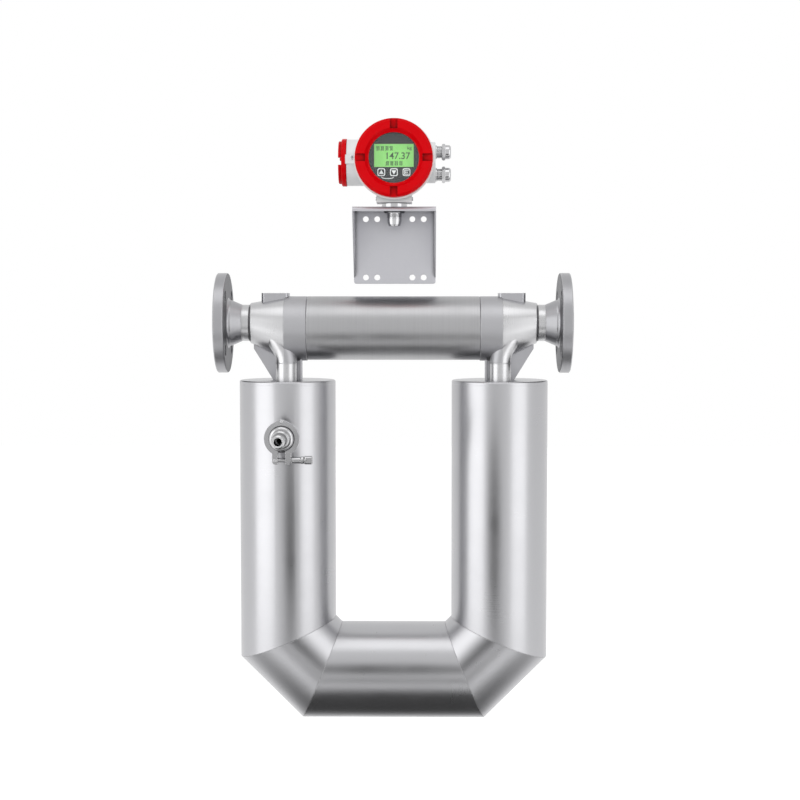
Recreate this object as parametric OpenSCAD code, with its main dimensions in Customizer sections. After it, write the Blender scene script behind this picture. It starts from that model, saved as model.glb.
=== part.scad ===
/* [Line connection] */
// Overall length between the two raised faces
face_to_face = 588; // [560:1:640]
// Outside diameter of a line flange
flange_d = 165; // [160:1:180]
// Thickness of a flange plate with its raised face
flange_t = 20; // [16:0.5:26]
// Diameter of the raised face
raised_face_d = 102; // [92:1:104]
// Height of the raised face
raised_face_h = 3; // [2:0.5:4]
// Bolt circle diameter
bolt_circle_d = 125; // [122:1:132]
// Diameter of a bolt hole
bolt_hole_d = 18; // [14:0.5:20]
// Number of bolt holes in a flange
bolt_count = 4; // [4:4:8]
// Diameter of the weld neck where it leaves the plate
neck_root_d = 75; // [68:1:84]
// Fillet between the neck and the plate
neck_fillet = 6; // [3:0.5:8]
// Distance from the raised face to the end of the weld neck
neck_end = 44; // [38:1:50]
// Outside diameter of the line pipe
pipe_d = 60.3; // [54:0.1:66]
// Wall of the line pipe
pipe_wall = 3.6; // [2:0.1:5]
// Depth of the groove along a butt weld
weld_groove = 0.8; // [0.4:0.1:1.2]

/* [Flow splitter] */
// Length of the pipe ring between the weld neck and the cone
ring_l = 12; // [8:1:20]
// Length of the splitter's cone
cone_l = 59; // [50:1:66]
// Rounding of the cone's small end
cone_round = 6.5; // [3:0.5:9]
// Step from the cone up to the splitter's drum at the top
cone_step = 5.3; // [3:0.1:8]
// Diameter of the splitter's drum
drum_d = 106.6; // [100:0.1:116]
// Length of the splitter's drum
drum_l = 36.5; // [30:0.5:46]
// How far the drum's axis lies below the line axis
drum_drop = 9.2; // [6:0.1:12]
// Wall of the splitter
splitter_wall = 4; // [3:0.5:5]
// Centre line radius of a branch elbow
elbow_r = 40; // [34:1:44]
// Height of the weld between branch and flow tube below the line axis
branch_drop = 66; // [62:1:74]
// Straight end of a branch below its elbow
branch_tail = 2; // [1:0.5:6]

/* [Centre tube] */
// Step from the drum down to the tube between the two splitters
centre_step = 0.6; // [0.2:0.1:1.5]
// Wall of the centre tube
centre_wall = 4; // [2:0.5:6]

/* [Flow tubes] */
// Outside diameter of a flow tube
tube_d = 35; // [30:0.5:38]
// Wall of a flow tube
tube_wall = 2; // [1:0.5:3]
// Distance between the axes of the two flow tubes
tube_pitch = 50; // [44:1:56]
// Distance between a tube pair and the middle of the meter
leg_x = 176; // [165:1:190]
// Bend radius of a flow tube
tube_bend = 105; // [90:1:120]
// Clearance around a flow tube where it passes a plate
tube_play = 0.35; // [0.3:0.05:0.6]
// Height of the upper node plate below the line axis
node_drop = 122; // [116:1:140]
// Distance between the two node plates of a pair
node_step = 34; // [24:1:50]
// Thickness of a node plate
node_t = 4; // [3:0.5:6]

/* [Case] */
// Diameter of the case pipe
case_d = 159; // [150:1:170]
// Wall of the case pipe
case_wall = 4; // [3:0.5:6]
// Height of a leg's top below the line axis
leg_drop = 94.4; // [88:0.1:110]
// Height of the bottom pipe's axis below the line axis
case_drop = 580; // [520:1:680]
// Width and height of a mitred corner, along the pipe axes
corner_cut = 57; // [48:1:66]
// Thickness of a leg cap
cap_t = 6; // [5:0.5:8]
// Rounding of a leg cap's rim
cap_round = 3; // [1.5:0.5:4]
// Gap between neighbouring pipes that shows as a weld line
seam = 0.3; // [0.2:0.05:0.5]

/* [Braces] */
// Thickness of the brace sheet
sheet_t = 3; // [2:0.5:5]
// Outer edge of a top channel, from its tube pair
channel_out = 41.8; // [34:0.2:48]
// Width of a top channel along the line
channel_w = 44.6; // [36:0.2:52]
// Depth of a top channel across the line
channel_y = 32; // [26:1:40]
// Height of a top channel above the line axis
channel_top = 49.4; // [47:0.1:60]
// Outer radius of a top channel's bends
channel_bend = 5.5; // [5.2:0.1:8]
// Outer edge of a gusset plate, from its tube pair
gusset_out = 56; // [50:1:62]
// Inner edge of a gusset plate, from its tube pair
gusset_in = 24.8; // [22:0.2:30]
// Foot of a gusset plate, from its tube pair to the outer corner
gusset_foot = 24; // [20:1:36]
// Height of a gusset plate's outer corner below the line axis
gusset_drop = 42.7; // [38:0.1:60]
// Depth of the lip folded on a gusset plate
gusset_lip = 15; // [8:1:20]

/* [Drive and pickoffs] */
// Height of the pickoff coils above the bottom pipe's axis
pickoff_rise = 150; // [140:1:220]
// Distance of a coil's axis from its flow tube's axis
coil_offset = 33; // [31:1:36]
// Outside diameter of a coil
coil_d = 20; // [16:1:22]
// Length of a coil
coil_l = 12; // [10:1:13]
// Diameter of the magnet inside a coil
magnet_d = 8; // [5:0.5:9]
// Clearance between a magnet and its coil
coil_play = 1.6; // [1.2:0.1:2.2]
// Width of a coil bracket
bracket_w = 24; // [20:1:30]

/* [Signal connector] */
// Height of the connector's axis below the line axis
port_drop = 182.2; // [160:0.2:240]
// Distance from the leg's wall to the middle of the clamp
port_reach = 40.5; // [34:0.5:60]
// Diameter of the pipe stub on the leg
port_d = 32; // [26:0.5:36]
// Diameter of the ferrules
ferrule_d = 46; // [44:0.5:47]
// Thickness of a ferrule's rim
ferrule_t = 3; // [2.5:0.5:4]
// Thickness of the gasket between the ferrules
gasket_t = 2; // [1:0.5:3]
// Outside diameter of the clamp
clamp_d = 56.2; // [55:0.2:62]
// Diameter of the clamp's opening
clamp_bore_d = 41.4; // [40:0.2:42.4]
// Width of the clamp
clamp_w = 14; // [12:0.5:18]
// Length of the connector in front of its ferrule
connector_l = 73; // [60:1:90]
// Diameter of the connector's nozzle
nozzle_d = 21; // [18:0.5:24]
// Diameter of the hole in the nozzle
nozzle_bore_d = 12.4; // [8:0.2:14]
// Diameter of the swing bolt
bolt_d = 7; // [5:0.5:8]
// Clearance of a pin in its hole
pin_play = 0.05; // [0.03:0.01:0.09]
// Length of the clamp nut
clamp_nut_l = 33; // [24:1:44]

/* [Transmitter] */
// Height of the display's axis above the line axis
display_z = 266.8; // [250:0.2:320]
// Distance of the transmitter from the middle of the meter, along the line
transmitter_x = 1.5; // [0:0.1:10]
// Diameter of the front cover
cover_d = 126; // [120:1:136]
// Depth of the front cover
cover_l = 25; // [20:1:30]
// Distance from the neck axis to the front cover's face
cover_y = 70; // [64:1:80]
// Diameter of the window opening
window_d = 81.2; // [70:0.2:84]
// Thickness of the window glass
glass_t = 6; // [4:0.5:8]
// Width of a wrench slot in a cover
slot_w = 12; // [8:0.5:14]
// Diameter over the inner ends of the wrench slots
slot_in_d = 94.6; // [92:0.2:98]
// Depth of a wrench slot
slot_t = 5; // [3:0.5:6]
// Diameter of the cover's spigot
spigot_d = 112; // [106:1:116]
// Length of a cover's spigot
spigot_l = 15; // [14:0.5:18]
// Clearance between a cover and the housing
cover_play = 0.3; // [0.2:0.05:0.4]
// Wall of the housing
housing_wall = 5; // [4:0.5:7]
// Diameter of the terminal barrel
barrel_d = 77; // [74:0.5:82]
// Distance of the barrel's axis behind the neck axis
barrel_y = 37; // [32:1:42]
// Distance of the barrel's open end from the neck axis
barrel_out = 79.5; // [74:0.5:90]
// Diameter of the gland boss
boss_d = 68; // [62:0.5:72]
// Distance of the gland boss's face from the neck axis
boss_out = 68; // [66:0.5:78]
// Depth of the side cover
side_cover_l = 13.5; // [11:0.5:18]
// Diameter over the side cover's raised ring
lug_ring_d = 71; // [66:0.5:74]
// Height of the side cover's raised ring
lug_ring_l = 5.2; // [4:0.2:7]

/* [Display] */
// Diameter of the faceplate
faceplate_d = 90; // [84:1:94]
// Thickness of the faceplate
faceplate_t = 3; // [2:0.5:4]
// Width of the display glass
lcd_w = 64; // [56:0.5:66]
// Height of the display glass
lcd_h = 37; // [30:0.5:40]
// Height of the display's middle above the window's middle
lcd_up = 4.4; // [2:0.2:6]
// Diameter of the circuit boards
board_d = 84; // [76:1:88]

/* [Glands] */
// Distance between the two cable glands
gland_pitch = 37.6; // [34:0.2:40]
// Diameter of a gland's thread
gland_thread_d = 20; // [16:0.5:22]
// Width across flats of a gland's hexagon
gland_af = 24; // [22:0.5:27]
// Diameter of the cable hole in a gland
gland_bore_d = 10; // [6:0.5:12]

/* [Neck and wall bracket] */
// Width of the housing's foot
foot_w = 58; // [50:1:64]
// Height of the foot's underside above the line axis
foot_z = 197.2; // [190:0.2:240]
// Diameter of the neck collar
collar_d = 42; // [38:1:48]
// Height of the neck collar
collar_l = 6.9; // [5:0.1:10]
// Diameter of the journal that the housing turns on
journal_d = 32; // [28:1:36]
// Diameter of the threaded stem
stem_d = 25; // [22:0.5:27]
// Width across flats of the lock nut
lock_nut_af = 30; // [29:0.5:34]
// Thickness of the lock nut
lock_nut_t = 7; // [5:0.5:9]
// Width of the wall bracket
bracket_x = 137; // [130:1:160]
// Height of the wall bracket
bracket_h = 125; // [118:1:160]
// Distance from the bracket's front edge to its back
bracket_y = 74.5; // [66:0.5:90]
// Thickness of the bracket's sheet
bracket_t = 2.5; // [2:0.5:4]
// Height of the lip along the bracket's front edge
lip_h = 7.4; // [5:0.2:12]
// Diameter of a screw hole in the bracket
screw_hole_d = 9.6; // [6:0.2:10]
// Distance between the outer screw holes
hole_outer_x = 96.8; // [90:0.2:106]
// Distance between the inner screw holes
hole_inner_x = 58.8; // [50:0.2:66]
// Distance between the upper and lower screw holes
hole_z = 97.2; // [80:0.2:100]

/* [Hidden] */
$fn = 64;

// Finishes
steel = [0.78, 0.78, 0.79];
brushed = [0.62, 0.62, 0.63];
sheet_steel = [0.66, 0.66, 0.68];
red_paint = [0.80, 0.06, 0.08];
white_paint = [0.92, 0.92, 0.93];
rubber = [0.08, 0.08, 0.08];
copper = [0.72, 0.38, 0.16];
magnet_grey = [0.55, 0.56, 0.58];
board_green = [0.10, 0.32, 0.18];

// Line connection
mid_x = face_to_face / 2;
pipe_r = pipe_d / 2;
bore_r = pipe_r - pipe_wall;
plate_bevel = 1.2;
cone_x = neck_end + ring_l;
drum_x = cone_x + cone_l;
centre_x = drum_x + drum_l;
centre_d = drum_d - 2 * centre_step;

// Splitter: the cone runs from the pipe's circle to the drum, and leans down as it grows
drum_r = drum_d / 2;
cone_top = drum_r - drum_drop - cone_step;
cone_bottom = drum_r + drum_drop;
cone_small = pipe_r + 1.4;
slope_top = (cone_top - cone_small) / cone_l;
slope_bottom = (cone_bottom - cone_small) / cone_l;
cone_half = (atan(slope_bottom) + atan(slope_top)) / 2;
cone_lean = (atan(slope_bottom) - atan(slope_top)) / 2;
apex_back = 2 * cone_small / (slope_top + slope_bottom);
apex_z = cone_small - slope_top * apex_back;
cone_h = 3 * (apex_back + cone_l);
elbow_sweep = 74;
weld_gap = 0.2;
weld_bead = 0.5;

// Tube pairs
tube_r = tube_d / 2;
tube_bore_r = tube_r - tube_wall;
tube_y = tube_pitch / 2;
inlet_x = mid_x - leg_x;
outlet_x = mid_x + leg_x;
tube_gap = 0.3;
tube_top = -branch_drop - tube_gap;

// Case
case_r = case_d / 2;
case_bore_r = case_r - case_wall;
corner_z = -(case_drop - corner_cut);
corner_x = inlet_x + corner_cut;
mitre = 22.5;
shell_top = -leg_drop - cap_t;
big = 4 * case_d;

// Coils
coil_face = tube_y - tube_r + 8;
magnet_r = magnet_d / 2;
coil_bore_r = magnet_r + coil_play;
carrier_t = 3;

// Signal connector: places are measured along the axis from the leg's own axis
port_y = -(case_r + port_reach);
ferrule_r = ferrule_d / 2;
clamp_r = clamp_d / 2;
clamp_bore_r = clamp_bore_d / 2;
groove_play = 0.25;
groove_w = 2 * ferrule_t + gasket_t + 2 * groove_play;
lug_in = 6.3;
lug_out = 15;
lug_bottom = clamp_r + 13.4;
lug_chamfer = 3;
bolt_x = -(lug_in + lug_out) / 2;
bolt_z = -(clamp_r + 6.7);
bolt_slot = bolt_d + 0.6;
hinge_z = clamp_r - 0.6;
hinge_r = 3.4;
hinge_pin_r = 1.7;
nut_gap = 0.5;
bolt_pin_r = 2;
eye_r = 4.6;
stub_wall = 2;
stub_root = case_wall + 2.5;
dome_round = 5.5;

// Transmitter: its axis is the neck axis
neck_x = mid_x + transmitter_x;
cover_r = cover_d / 2;
spigot_r = spigot_d / 2;
cover_back = -cover_y + cover_l;
housing_front = cover_back + cover_play;
housing_r = spigot_r + cover_play + housing_wall;
cavity_r = spigot_r - 3;
cavity_back = -4;
window_r = window_d / 2;
glass_r = window_r + 4;
barrel_r = barrel_d / 2;
barrel_bore_r = barrel_r - housing_wall;
side_spigot_r = barrel_r - 3.2;
boss_r = boss_d / 2;
boss_wall = 7;
seal_t = 2;
seal_w = 3;
side_seal_w = 1.6;
cover_bevel = 4;
housing_lip = 2.5;
lip_l = 7;
lip_foot = 12;
housing_back = 5;
spigot_wall = 5;
glass_drop = 8;
retainer_t = 3.5;
lug_ring_w = 8;
wire_r = 8;

// Display stack, measured towards the front from the neck axis
face_z = 50;
board_t = 1.6;
lower_board_z = 18;
upper_board_z = 38;
pillar_r = 2.5;

// Terminals
pad_x = 46;
pad_w = 40;
pad_h = 50;
pad_y = 10;
terminal_y = 16;
terminal_play = 0.8;
terminal_h = 2 * (sqrt(barrel_bore_r ^ 2 - (barrel_y - pad_y) ^ 2) - terminal_play);
terminal_n = 6;
terminal_margin = 4;
terminal_wire_r = 2;

// Side cover's lock
lock_l = 16;
lock_w = 15;
lock_t = 3;
lock_z = 2.6;
lock_screw_x = 12.2;
lock_over = 1.5;
lock_lift = 1.3;
lock_screw_z = lock_w / 4 - 1;
lock_thread_r = 1.6;

// Glands
gland_r = gland_thread_d / 2;
gland_ring = 2.4;
gland_body_l = 10.5;
gland_hex_l = 5.8;
gland_dome_l = 9.4;
gland_drop = 1.4;
gland_round = 4;
gland_sleeve_r = gland_bore_d / 2 + 1;

// Neck and bracket
foot_gap = 0.3;
collar_top = foot_z - foot_gap;
bracket_top = collar_top - collar_l;
journal_r = journal_d / 2;
journal_l = 13;
stem_r = stem_d / 2;
stem_end = bracket_top - bracket_t - lock_nut_t - 8;
bracket_front = -bracket_y / 2;
bracket_back = bracket_y / 2;
bracket_bend = 5;
plate_corner = 4.2;
neck_screw_r = 3;
neck_screw_up = 7.2;
neck_screw_out = 2.6;
neck_nut_l = 13;
neck_tip = stem_end - neck_nut_l;
hole_top_z = bracket_top - 17.2;

// ---- Helpers ----

// Points along an arc from angle a0 to a1 around c
function arc(c, r, a0, a1, n = 8) =
  [for (i = [0:n]) let (a = a0 + (a1 - a0) * i / n) [c[0] + r * cos(a), c[1] + r * sin(a)]];

// Turns a child's +Z to +X, -X, -Y or +Y
module to_x() rotate([0, 90, 0]) children();
module to_back_x() rotate([0, -90, 0]) children();
module to_front() rotate([90, 0, 0]) children();
module to_rear() rotate([-90, 0, 0]) children();

// The outlet side mirrors the inlet side
module outlet_side() translate([face_to_face, 0, 0]) mirror([1, 0, 0]) children();

// Repeats a child for the front and the rear flow tube
module both_tubes() for (s = [-1, 1]) translate([0, s * tube_y, 0]) children();

// Repeats a child at the inlet and the outlet tube pair
module both_sides() {
  children();
  outlet_side() children();
}

// A disc with its edges bevelled, from z = 0 up
module bevelled_disc(r, h, b) {
  rotate_extrude() polygon([[0, 0], [r - b, 0], [r, b], [r, h - b], [r - b, h], [0, h]]);
}

// A hexagonal prism with its corners turned down, from z = 0 up
module hexagon_nut(af, h) {
  corner = af / 2 / cos(30);
  intersection() {
    cylinder(r = corner, h = h, $fn = 6);
    bevelled_disc(corner, h, (corner - af / 2) * 0.8);
  }
}

// ---- Line connection ----

module flange_solid() {
  r = flange_d / 2;
  root = neck_root_d / 2;
  difference() {
    to_x() rotate_extrude($fn = 96) polygon(concat(
      [[bore_r, 0], [raised_face_d / 2, 0], [raised_face_d / 2, raised_face_h]],
      [[r - plate_bevel, raised_face_h], [r, raised_face_h + plate_bevel]],
      [[r, flange_t - plate_bevel], [r - plate_bevel, flange_t]],
      arc([root + neck_fillet, flange_t + neck_fillet], neck_fillet, 270, 180),
      [[pipe_r, neck_end - weld_groove], [pipe_r - weld_groove, neck_end], [bore_r, neck_end]]
    ));
    for (i = [0:bolt_count - 1])
      rotate([(i + 0.5) * 360 / bolt_count, 0, 0])
        translate([-1, 0, bolt_circle_d / 2]) to_x() cylinder(d = bolt_hole_d, h = flange_t + 2);
  }
}

module inlet_flange() color(steel) flange_solid();

module outlet_flange() color(steel) outlet_side() flange_solid();

// ---- Flow splitter ----

// The leaning cone, grown outwards by g, cut off square at both ends
module leaning_cone(g, x0, x1) {
  intersection() {
    translate([cone_x - apex_back, 0, apex_z]) rotate([0, 90 + cone_lean, 0])
      translate([0, 0, -g / sin(cone_half)])
        cylinder(h = cone_h, r1 = 0, r2 = cone_h * tan(cone_half), $fn = 96);
    translate([x0, -drum_d, -drum_d]) cube([x1 - x0, 2 * drum_d, 2 * drum_d]);
  }
}

// Rounds the cone's small end down to the pipe ring
module cone_nose() {
  start = pipe_r - weld_groove;
  translate([cone_x, 0, 0]) to_x() rotate_extrude($fn = 96) polygon(concat(
    [[0, 0]],
    arc([start, cone_round], cone_round, -90, 0),
    [[2 * drum_r, cone_round], [2 * drum_r, cone_l + 1], [0, cone_l + 1]]
  ));
}

// The splitter's drum, with a groove where it is welded to the centre tube
module drum(g = 0) {
  r = drum_r + g;
  translate([drum_x - g, 0, -drum_drop]) to_x() rotate_extrude($fn = 96)
    polygon([[0, 0], [r, 0], [r, drum_l - weld_groove], [r - weld_groove, drum_l + g], [0, drum_l + g]]);
}

// The round end of a branch where it sinks into the cone
module branch_end() {
  translate([inlet_x - elbow_r, 0, -branch_drop + branch_tail]) rotate([90, 0, 0])
    rotate([0, 0, elbow_sweep]) translate([elbow_r, 0, 0]) sphere(r = tube_r + weld_bead, $fn = 96);
}

// One branch from its weld up round the elbow, as a rod of radius r
module branch(r, extra = 0) {
  translate([inlet_x, 0, -branch_drop - extra]) cylinder(r = r, h = branch_tail + extra);
  translate([inlet_x - elbow_r, 0, -branch_drop + branch_tail]) rotate([90, 0, 0]) {
    rotate_extrude(angle = elbow_sweep, $fn = 96) translate([elbow_r, 0]) circle(r = r);
  }
}

module splitter_solid() {
  difference() {
    union() {
      difference() {
        union() {
          translate([neck_end, 0, 0]) to_x() bevelled_disc(pipe_r, ring_l, weld_groove);
          intersection() {
            leaning_cone(0, cone_x, drum_x);
            cone_nose();
          }
          drum();
        }
        translate([drum_x + splitter_wall, 0, -drum_drop]) to_x()
          cylinder(r = drum_r - splitter_wall, h = drum_l, $fn = 96);
      }
      both_tubes() {
        branch(tube_r);
        branch_end();
      }
    }
    translate([neck_end - 1, 0, 0]) to_x() cylinder(r = bore_r, h = ring_l + splitter_wall + 1);
    leaning_cone(-splitter_wall, cone_x + 1, drum_x - splitter_wall);
    both_tubes() branch(tube_bore_r, 1);
  }
}

module inlet_splitter() color(steel) splitter_solid();

module outlet_splitter() color(steel) outlet_side() splitter_solid();

module centre_tube() {
  l = face_to_face - 2 * centre_x;
  r = centre_d / 2;
  color(brushed) translate([centre_x, 0, -drum_drop + centre_step]) to_x()
    rotate_extrude($fn = 96) polygon([
      [r - centre_wall, 0], [r - weld_groove, 0], [r, weld_groove],
      [r, l - weld_groove], [r - weld_groove, l], [r - centre_wall, l]
    ]);
}

// ---- Braces ----

// What the braces are welded to, grown by the weld gap
module splitter_envelope() {
  leaning_cone(weld_gap, cone_x, drum_x);
  drum(weld_gap);
}

// A sheet folded twice, w wide and d deep, with its web at y = 0 and its bends of radius r outside
function folded_sheet(w, d, t, r) = concat(
  [[0, d]], arc([r, r], r, 180, 270), arc([w - r, r], r, 270, 360), [[w, d], [w - t, d]],
  arc([w - r, r], r - t, 360, 270), arc([r, r], r - t, 270, 180), [[t, d]]
);

module top_channel_solid() {
  difference() {
    translate([inlet_x - channel_out, -channel_y / 2, 0]) linear_extrude(channel_top)
      polygon(folded_sheet(channel_w, channel_y, sheet_t, channel_bend));
    splitter_envelope();
  }
}

module inlet_top_channel() color(sheet_steel) top_channel_solid();

module outlet_top_channel() color(sheet_steel) outlet_side() top_channel_solid();

module gusset_solid() {
  foot = -leg_drop;
  difference() {
    translate([inlet_x, 0, 0]) {
      translate([0, sheet_t / 2, 0]) to_front() linear_extrude(sheet_t) polygon([
        [-gusset_out, 0], [-gusset_out, -gusset_drop], [-gusset_foot, foot],
        [gusset_in, foot], [gusset_in, 0]
      ]);
      translate([gusset_in - sheet_t, -sheet_t / 2 - gusset_lip, foot])
        cube([sheet_t, gusset_lip + sheet_t, leg_drop]);
    }
    splitter_envelope();
  }
}

module inlet_gusset() color(sheet_steel) gusset_solid();

module outlet_gusset() color(sheet_steel) outlet_side() gusset_solid();

// ---- Case ----

// The half space under a plane that climbs to +X by a degrees
module under_plane(a) rotate([0, -a, 0]) translate([-big / 2, -big / 2, -big]) cube(big);

// A length of case pipe along +Z
module case_pipe(z0, z1) {
  translate([0, 0, z0]) difference() {
    cylinder(r = case_r, h = z1 - z0, $fn = 96);
    translate([0, 0, -1]) cylinder(r = case_bore_r, h = z1 - z0 + 2, $fn = 96);
  }
}

module leg_solid() {
  translate([inlet_x, 0, 0]) difference() {
    case_pipe(corner_z - case_r, shell_top);
    translate([0, 0, corner_z + seam / 2]) under_plane(mitre);
  }
}

module corner_solid() {
  run = corner_cut * sqrt(2);
  translate([inlet_x, 0, corner_z]) rotate([0, 135, 0]) difference() {
    case_pipe(-case_r, run + case_r);
    translate([0, 0, seam / 2]) under_plane(-mitre);
    translate([0, 0, run - seam / 2]) mirror([0, 0, 1]) under_plane(-mitre);
  }
}

module inlet_leg_shell() {
  color(steel) difference() {
    leg_solid();
    translate([inlet_x, 0, -port_drop]) to_front() cylinder(d = port_d + 0.1, h = case_d);
  }
}

module outlet_leg_shell() color(steel) outlet_side() leg_solid();

module inlet_corner_shell() color(steel) corner_solid();

module outlet_corner_shell() color(steel) outlet_side() corner_solid();

module bottom_shell() {
  color(steel) translate([0, 0, -case_drop]) difference() {
    translate([corner_x - case_r, 0, 0]) to_x()
      case_pipe(0, face_to_face - 2 * (corner_x - case_r));
    both_sides() translate([corner_x + seam / 2, 0, 0]) rotate([0, mitre, 0])
      translate([-big, -big / 2, -big / 2]) cube(big);
  }
}

module cap_solid() {
  translate([inlet_x, 0, shell_top]) difference() {
    rotate_extrude($fn = 96) polygon(concat(
      [[0, 0], [case_r, 0]],
      arc([case_r - cap_round, cap_t - cap_round], cap_round, 0, 90),
      [[0, cap_t]]
    ));
    both_tubes() translate([0, 0, -1]) cylinder(r = tube_r + tube_play, h = cap_t + 2);
  }
}

module inlet_leg_cap() color(steel) cap_solid();

module outlet_leg_cap() color(steel) outlet_side() cap_solid();

// ---- Flow tubes ----

// A flow tube's path as a rod of radius r, from the inlet weld round to the outlet weld
module tube_rod(r, extra = 0) {
  low = -case_drop + tube_bend;
  for (x = [inlet_x, outlet_x])
    translate([x, 0, low]) cylinder(r = r, h = tube_top - low + extra);
  translate([inlet_x + tube_bend, 0, -case_drop]) to_x()
    cylinder(r = r, h = 2 * (leg_x - tube_bend));
  both_sides() translate([inlet_x + tube_bend, 0, low]) rotate([90, 0, 0])
    rotate([0, 0, 180]) rotate_extrude(angle = 90, $fn = 96) translate([tube_bend, 0]) circle(r = r);
}

module flow_tube(s) {
  translate([0, s * tube_y, 0]) difference() {
    tube_rod(tube_r);
    tube_rod(tube_bore_r, 1);
  }
}

module front_flow_tube() color(steel) flow_tube(-1);

module rear_flow_tube() color(steel) flow_tube(1);

module node_plates() {
  w = 2 * (case_bore_r - 20);
  color(brushed) both_sides() for (i = [0, 1]) difference() {
    translate([inlet_x, 0, -node_drop - i * node_step]) intersection() {
      cylinder(r = case_bore_r, h = node_t, $fn = 96);
      translate([-w / 2, -case_r, 0]) cube([w, case_d, node_t]);
    }
    translate([inlet_x, 0, -node_drop - i * node_step - 1]) both_tubes()
      cylinder(r = tube_r + tube_play, h = node_t + 2);
  }
}

// ---- Drive and pickoffs: local +Z points away from the tube pair ----

module at_drive() translate([mid_x, 0, -case_drop]) children();

module at_pickoffs() both_sides() translate([inlet_x, 0, pickoff_rise - case_drop]) to_x() children();

// Repeats a child at the drive and at both pickoffs
module at_coils() {
  at_drive() children();
  at_pickoffs() children();
}

// A carrier plate that stands on one tube and holds a coil or a magnet against its face
module carrier(s) {
  difference() {
    translate([-bracket_w / 2, s > 0 ? coil_face : -coil_face - carrier_t, 0])
      cube([bracket_w, carrier_t, coil_offset + coil_d / 2 + 2]);
    translate([-bracket_w, s * tube_y, 0]) to_x() cylinder(r = tube_r + 0.02, h = 2 * bracket_w);
    translate([-bracket_w, s * tube_y - tube_r - 1, -1])
      cube([2 * bracket_w, tube_d + 2, sqrt(tube_r ^ 2 - (tube_y - coil_face) ^ 2) + 1]);
  }
}

module coil_brackets() color(sheet_steel) at_coils() carrier(-1);

module magnet_brackets() color(sheet_steel) at_coils() carrier(1);

// A wound bobbin between two flanges, with the hole that the magnet moves in
module coil() {
  w = 1.5;
  translate([0, -coil_face, coil_offset]) to_rear() rotate_extrude() polygon([
    [coil_bore_r, 0], [coil_d / 2, 0], [coil_d / 2, w], [coil_d / 2 - 1.5, w],
    [coil_d / 2 - 1.5, coil_l - w], [coil_d / 2, coil_l - w], [coil_d / 2, coil_l],
    [coil_bore_r, coil_l]
  ]);
}

// A magnet on its keeper, reaching into the coil
module magnet() {
  keeper = magnet_r + 2.5;
  reach = 2 * coil_face - 4;
  translate([0, coil_face, coil_offset]) to_front() rotate_extrude()
    polygon([[0, 0], [keeper, 0], [keeper, 3], [magnet_r, 3], [magnet_r, reach], [0, reach]]);
}

module drive_coil() color(copper) at_drive() coil();

module pickoff_coils() color(copper) at_pickoffs() coil();

module drive_magnet() color(magnet_grey) at_drive() magnet();

module pickoff_magnets() color(magnet_grey) at_pickoffs() magnet();

// A sensor block that sits against the back of the rear tube under the node plates
module temperature_sensor() {
  block = [10, 12, 26];
  color([0.75, 0.72, 0.60]) translate([inlet_x, tube_y, -node_drop - node_step - 60])
    difference() {
      translate([-block[0] / 2, tube_r - 4, 0]) cube(block);
      translate([0, 0, -1]) cylinder(r = tube_r + 0.02, h = block[2] + 2);
    }
}

// ---- Signal connector: local +Z points out of the leg, +Y points up ----

module at_port() translate([inlet_x, port_y, -port_drop]) to_front() children();

module connector_stub() {
  rim = -gasket_t / 2;
  r = port_d / 2;
  color(steel) at_port() rotate_extrude() polygon([
    [r - stub_wall, -port_reach - stub_root], [r, -port_reach - stub_root],
    [r, rim - ferrule_t - 2], [ferrule_r, rim - ferrule_t / 2], [ferrule_r, rim],
    [r - stub_wall, rim]
  ]);
}

module connector_gasket() {
  color(rubber) at_port() difference() {
    cylinder(r = ferrule_r - 0.5, h = gasket_t, center = true);
    cylinder(r = port_d / 2 - stub_wall, h = gasket_t + 1, center = true);
  }
}

module signal_connector() {
  rim = gasket_t / 2;
  base = rim + ferrule_t;
  dome_r = clamp_bore_r - 0.9;
  waist = dome_r - dome_round;
  tip = base + connector_l;
  nozzle = nozzle_d / 2;
  hole = nozzle_bore_d / 2;
  hole_l = 0.45 * connector_l;
  color(steel) at_port() rotate_extrude() polygon(concat(
    [[0, rim], [ferrule_r, rim], [ferrule_r, rim + ferrule_t / 2], [dome_r, base + 1]],
    arc([waist, base + 7], dome_round, 0, 90),
    [[waist - 1.2, base + 9 + dome_round], [waist, base + 10.5 + dome_round]],
    [[waist, base + 0.5 * connector_l], [waist - 1.5, base + 0.5 * connector_l + 1.5]],
    [[nozzle, base + 0.5 * connector_l + 1.5], [nozzle, tip - 1.5], [nozzle - 1.5, tip]],
    [[hole + 0.8, tip], [hole, tip - 0.8], [hole, tip - hole_l], [0, tip - hole_l - 2]]
  ));
}

// The clamp's outline: a ring drawn out to a point over its hinge
module clamp_outline() {
  lean = acos((clamp_r - hinge_r) / hinge_z);
  circle(r = clamp_r);
  translate([0, hinge_z]) circle(r = hinge_r);
  polygon([
    [-clamp_r * sin(lean), clamp_r * cos(lean)],
    [-hinge_r * sin(lean), hinge_z + hinge_r * cos(lean)],
    [hinge_r * sin(lean), hinge_z + hinge_r * cos(lean)],
    [clamp_r * sin(lean), clamp_r * cos(lean)]
  ]);
}

// The inside of the clamp: a groove that closes on both ferrules
module clamp_groove() {
  half = groove_w / 2;
  r = ferrule_r + groove_play;
  rotate_extrude() polygon([
    [0, -half - 2], [clamp_bore_r, -half - 2], [r, -half + ferrule_t / 2],
    [r, half - ferrule_t / 2], [clamp_bore_r, half + 2], [0, half + 2]
  ]);
}

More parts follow.
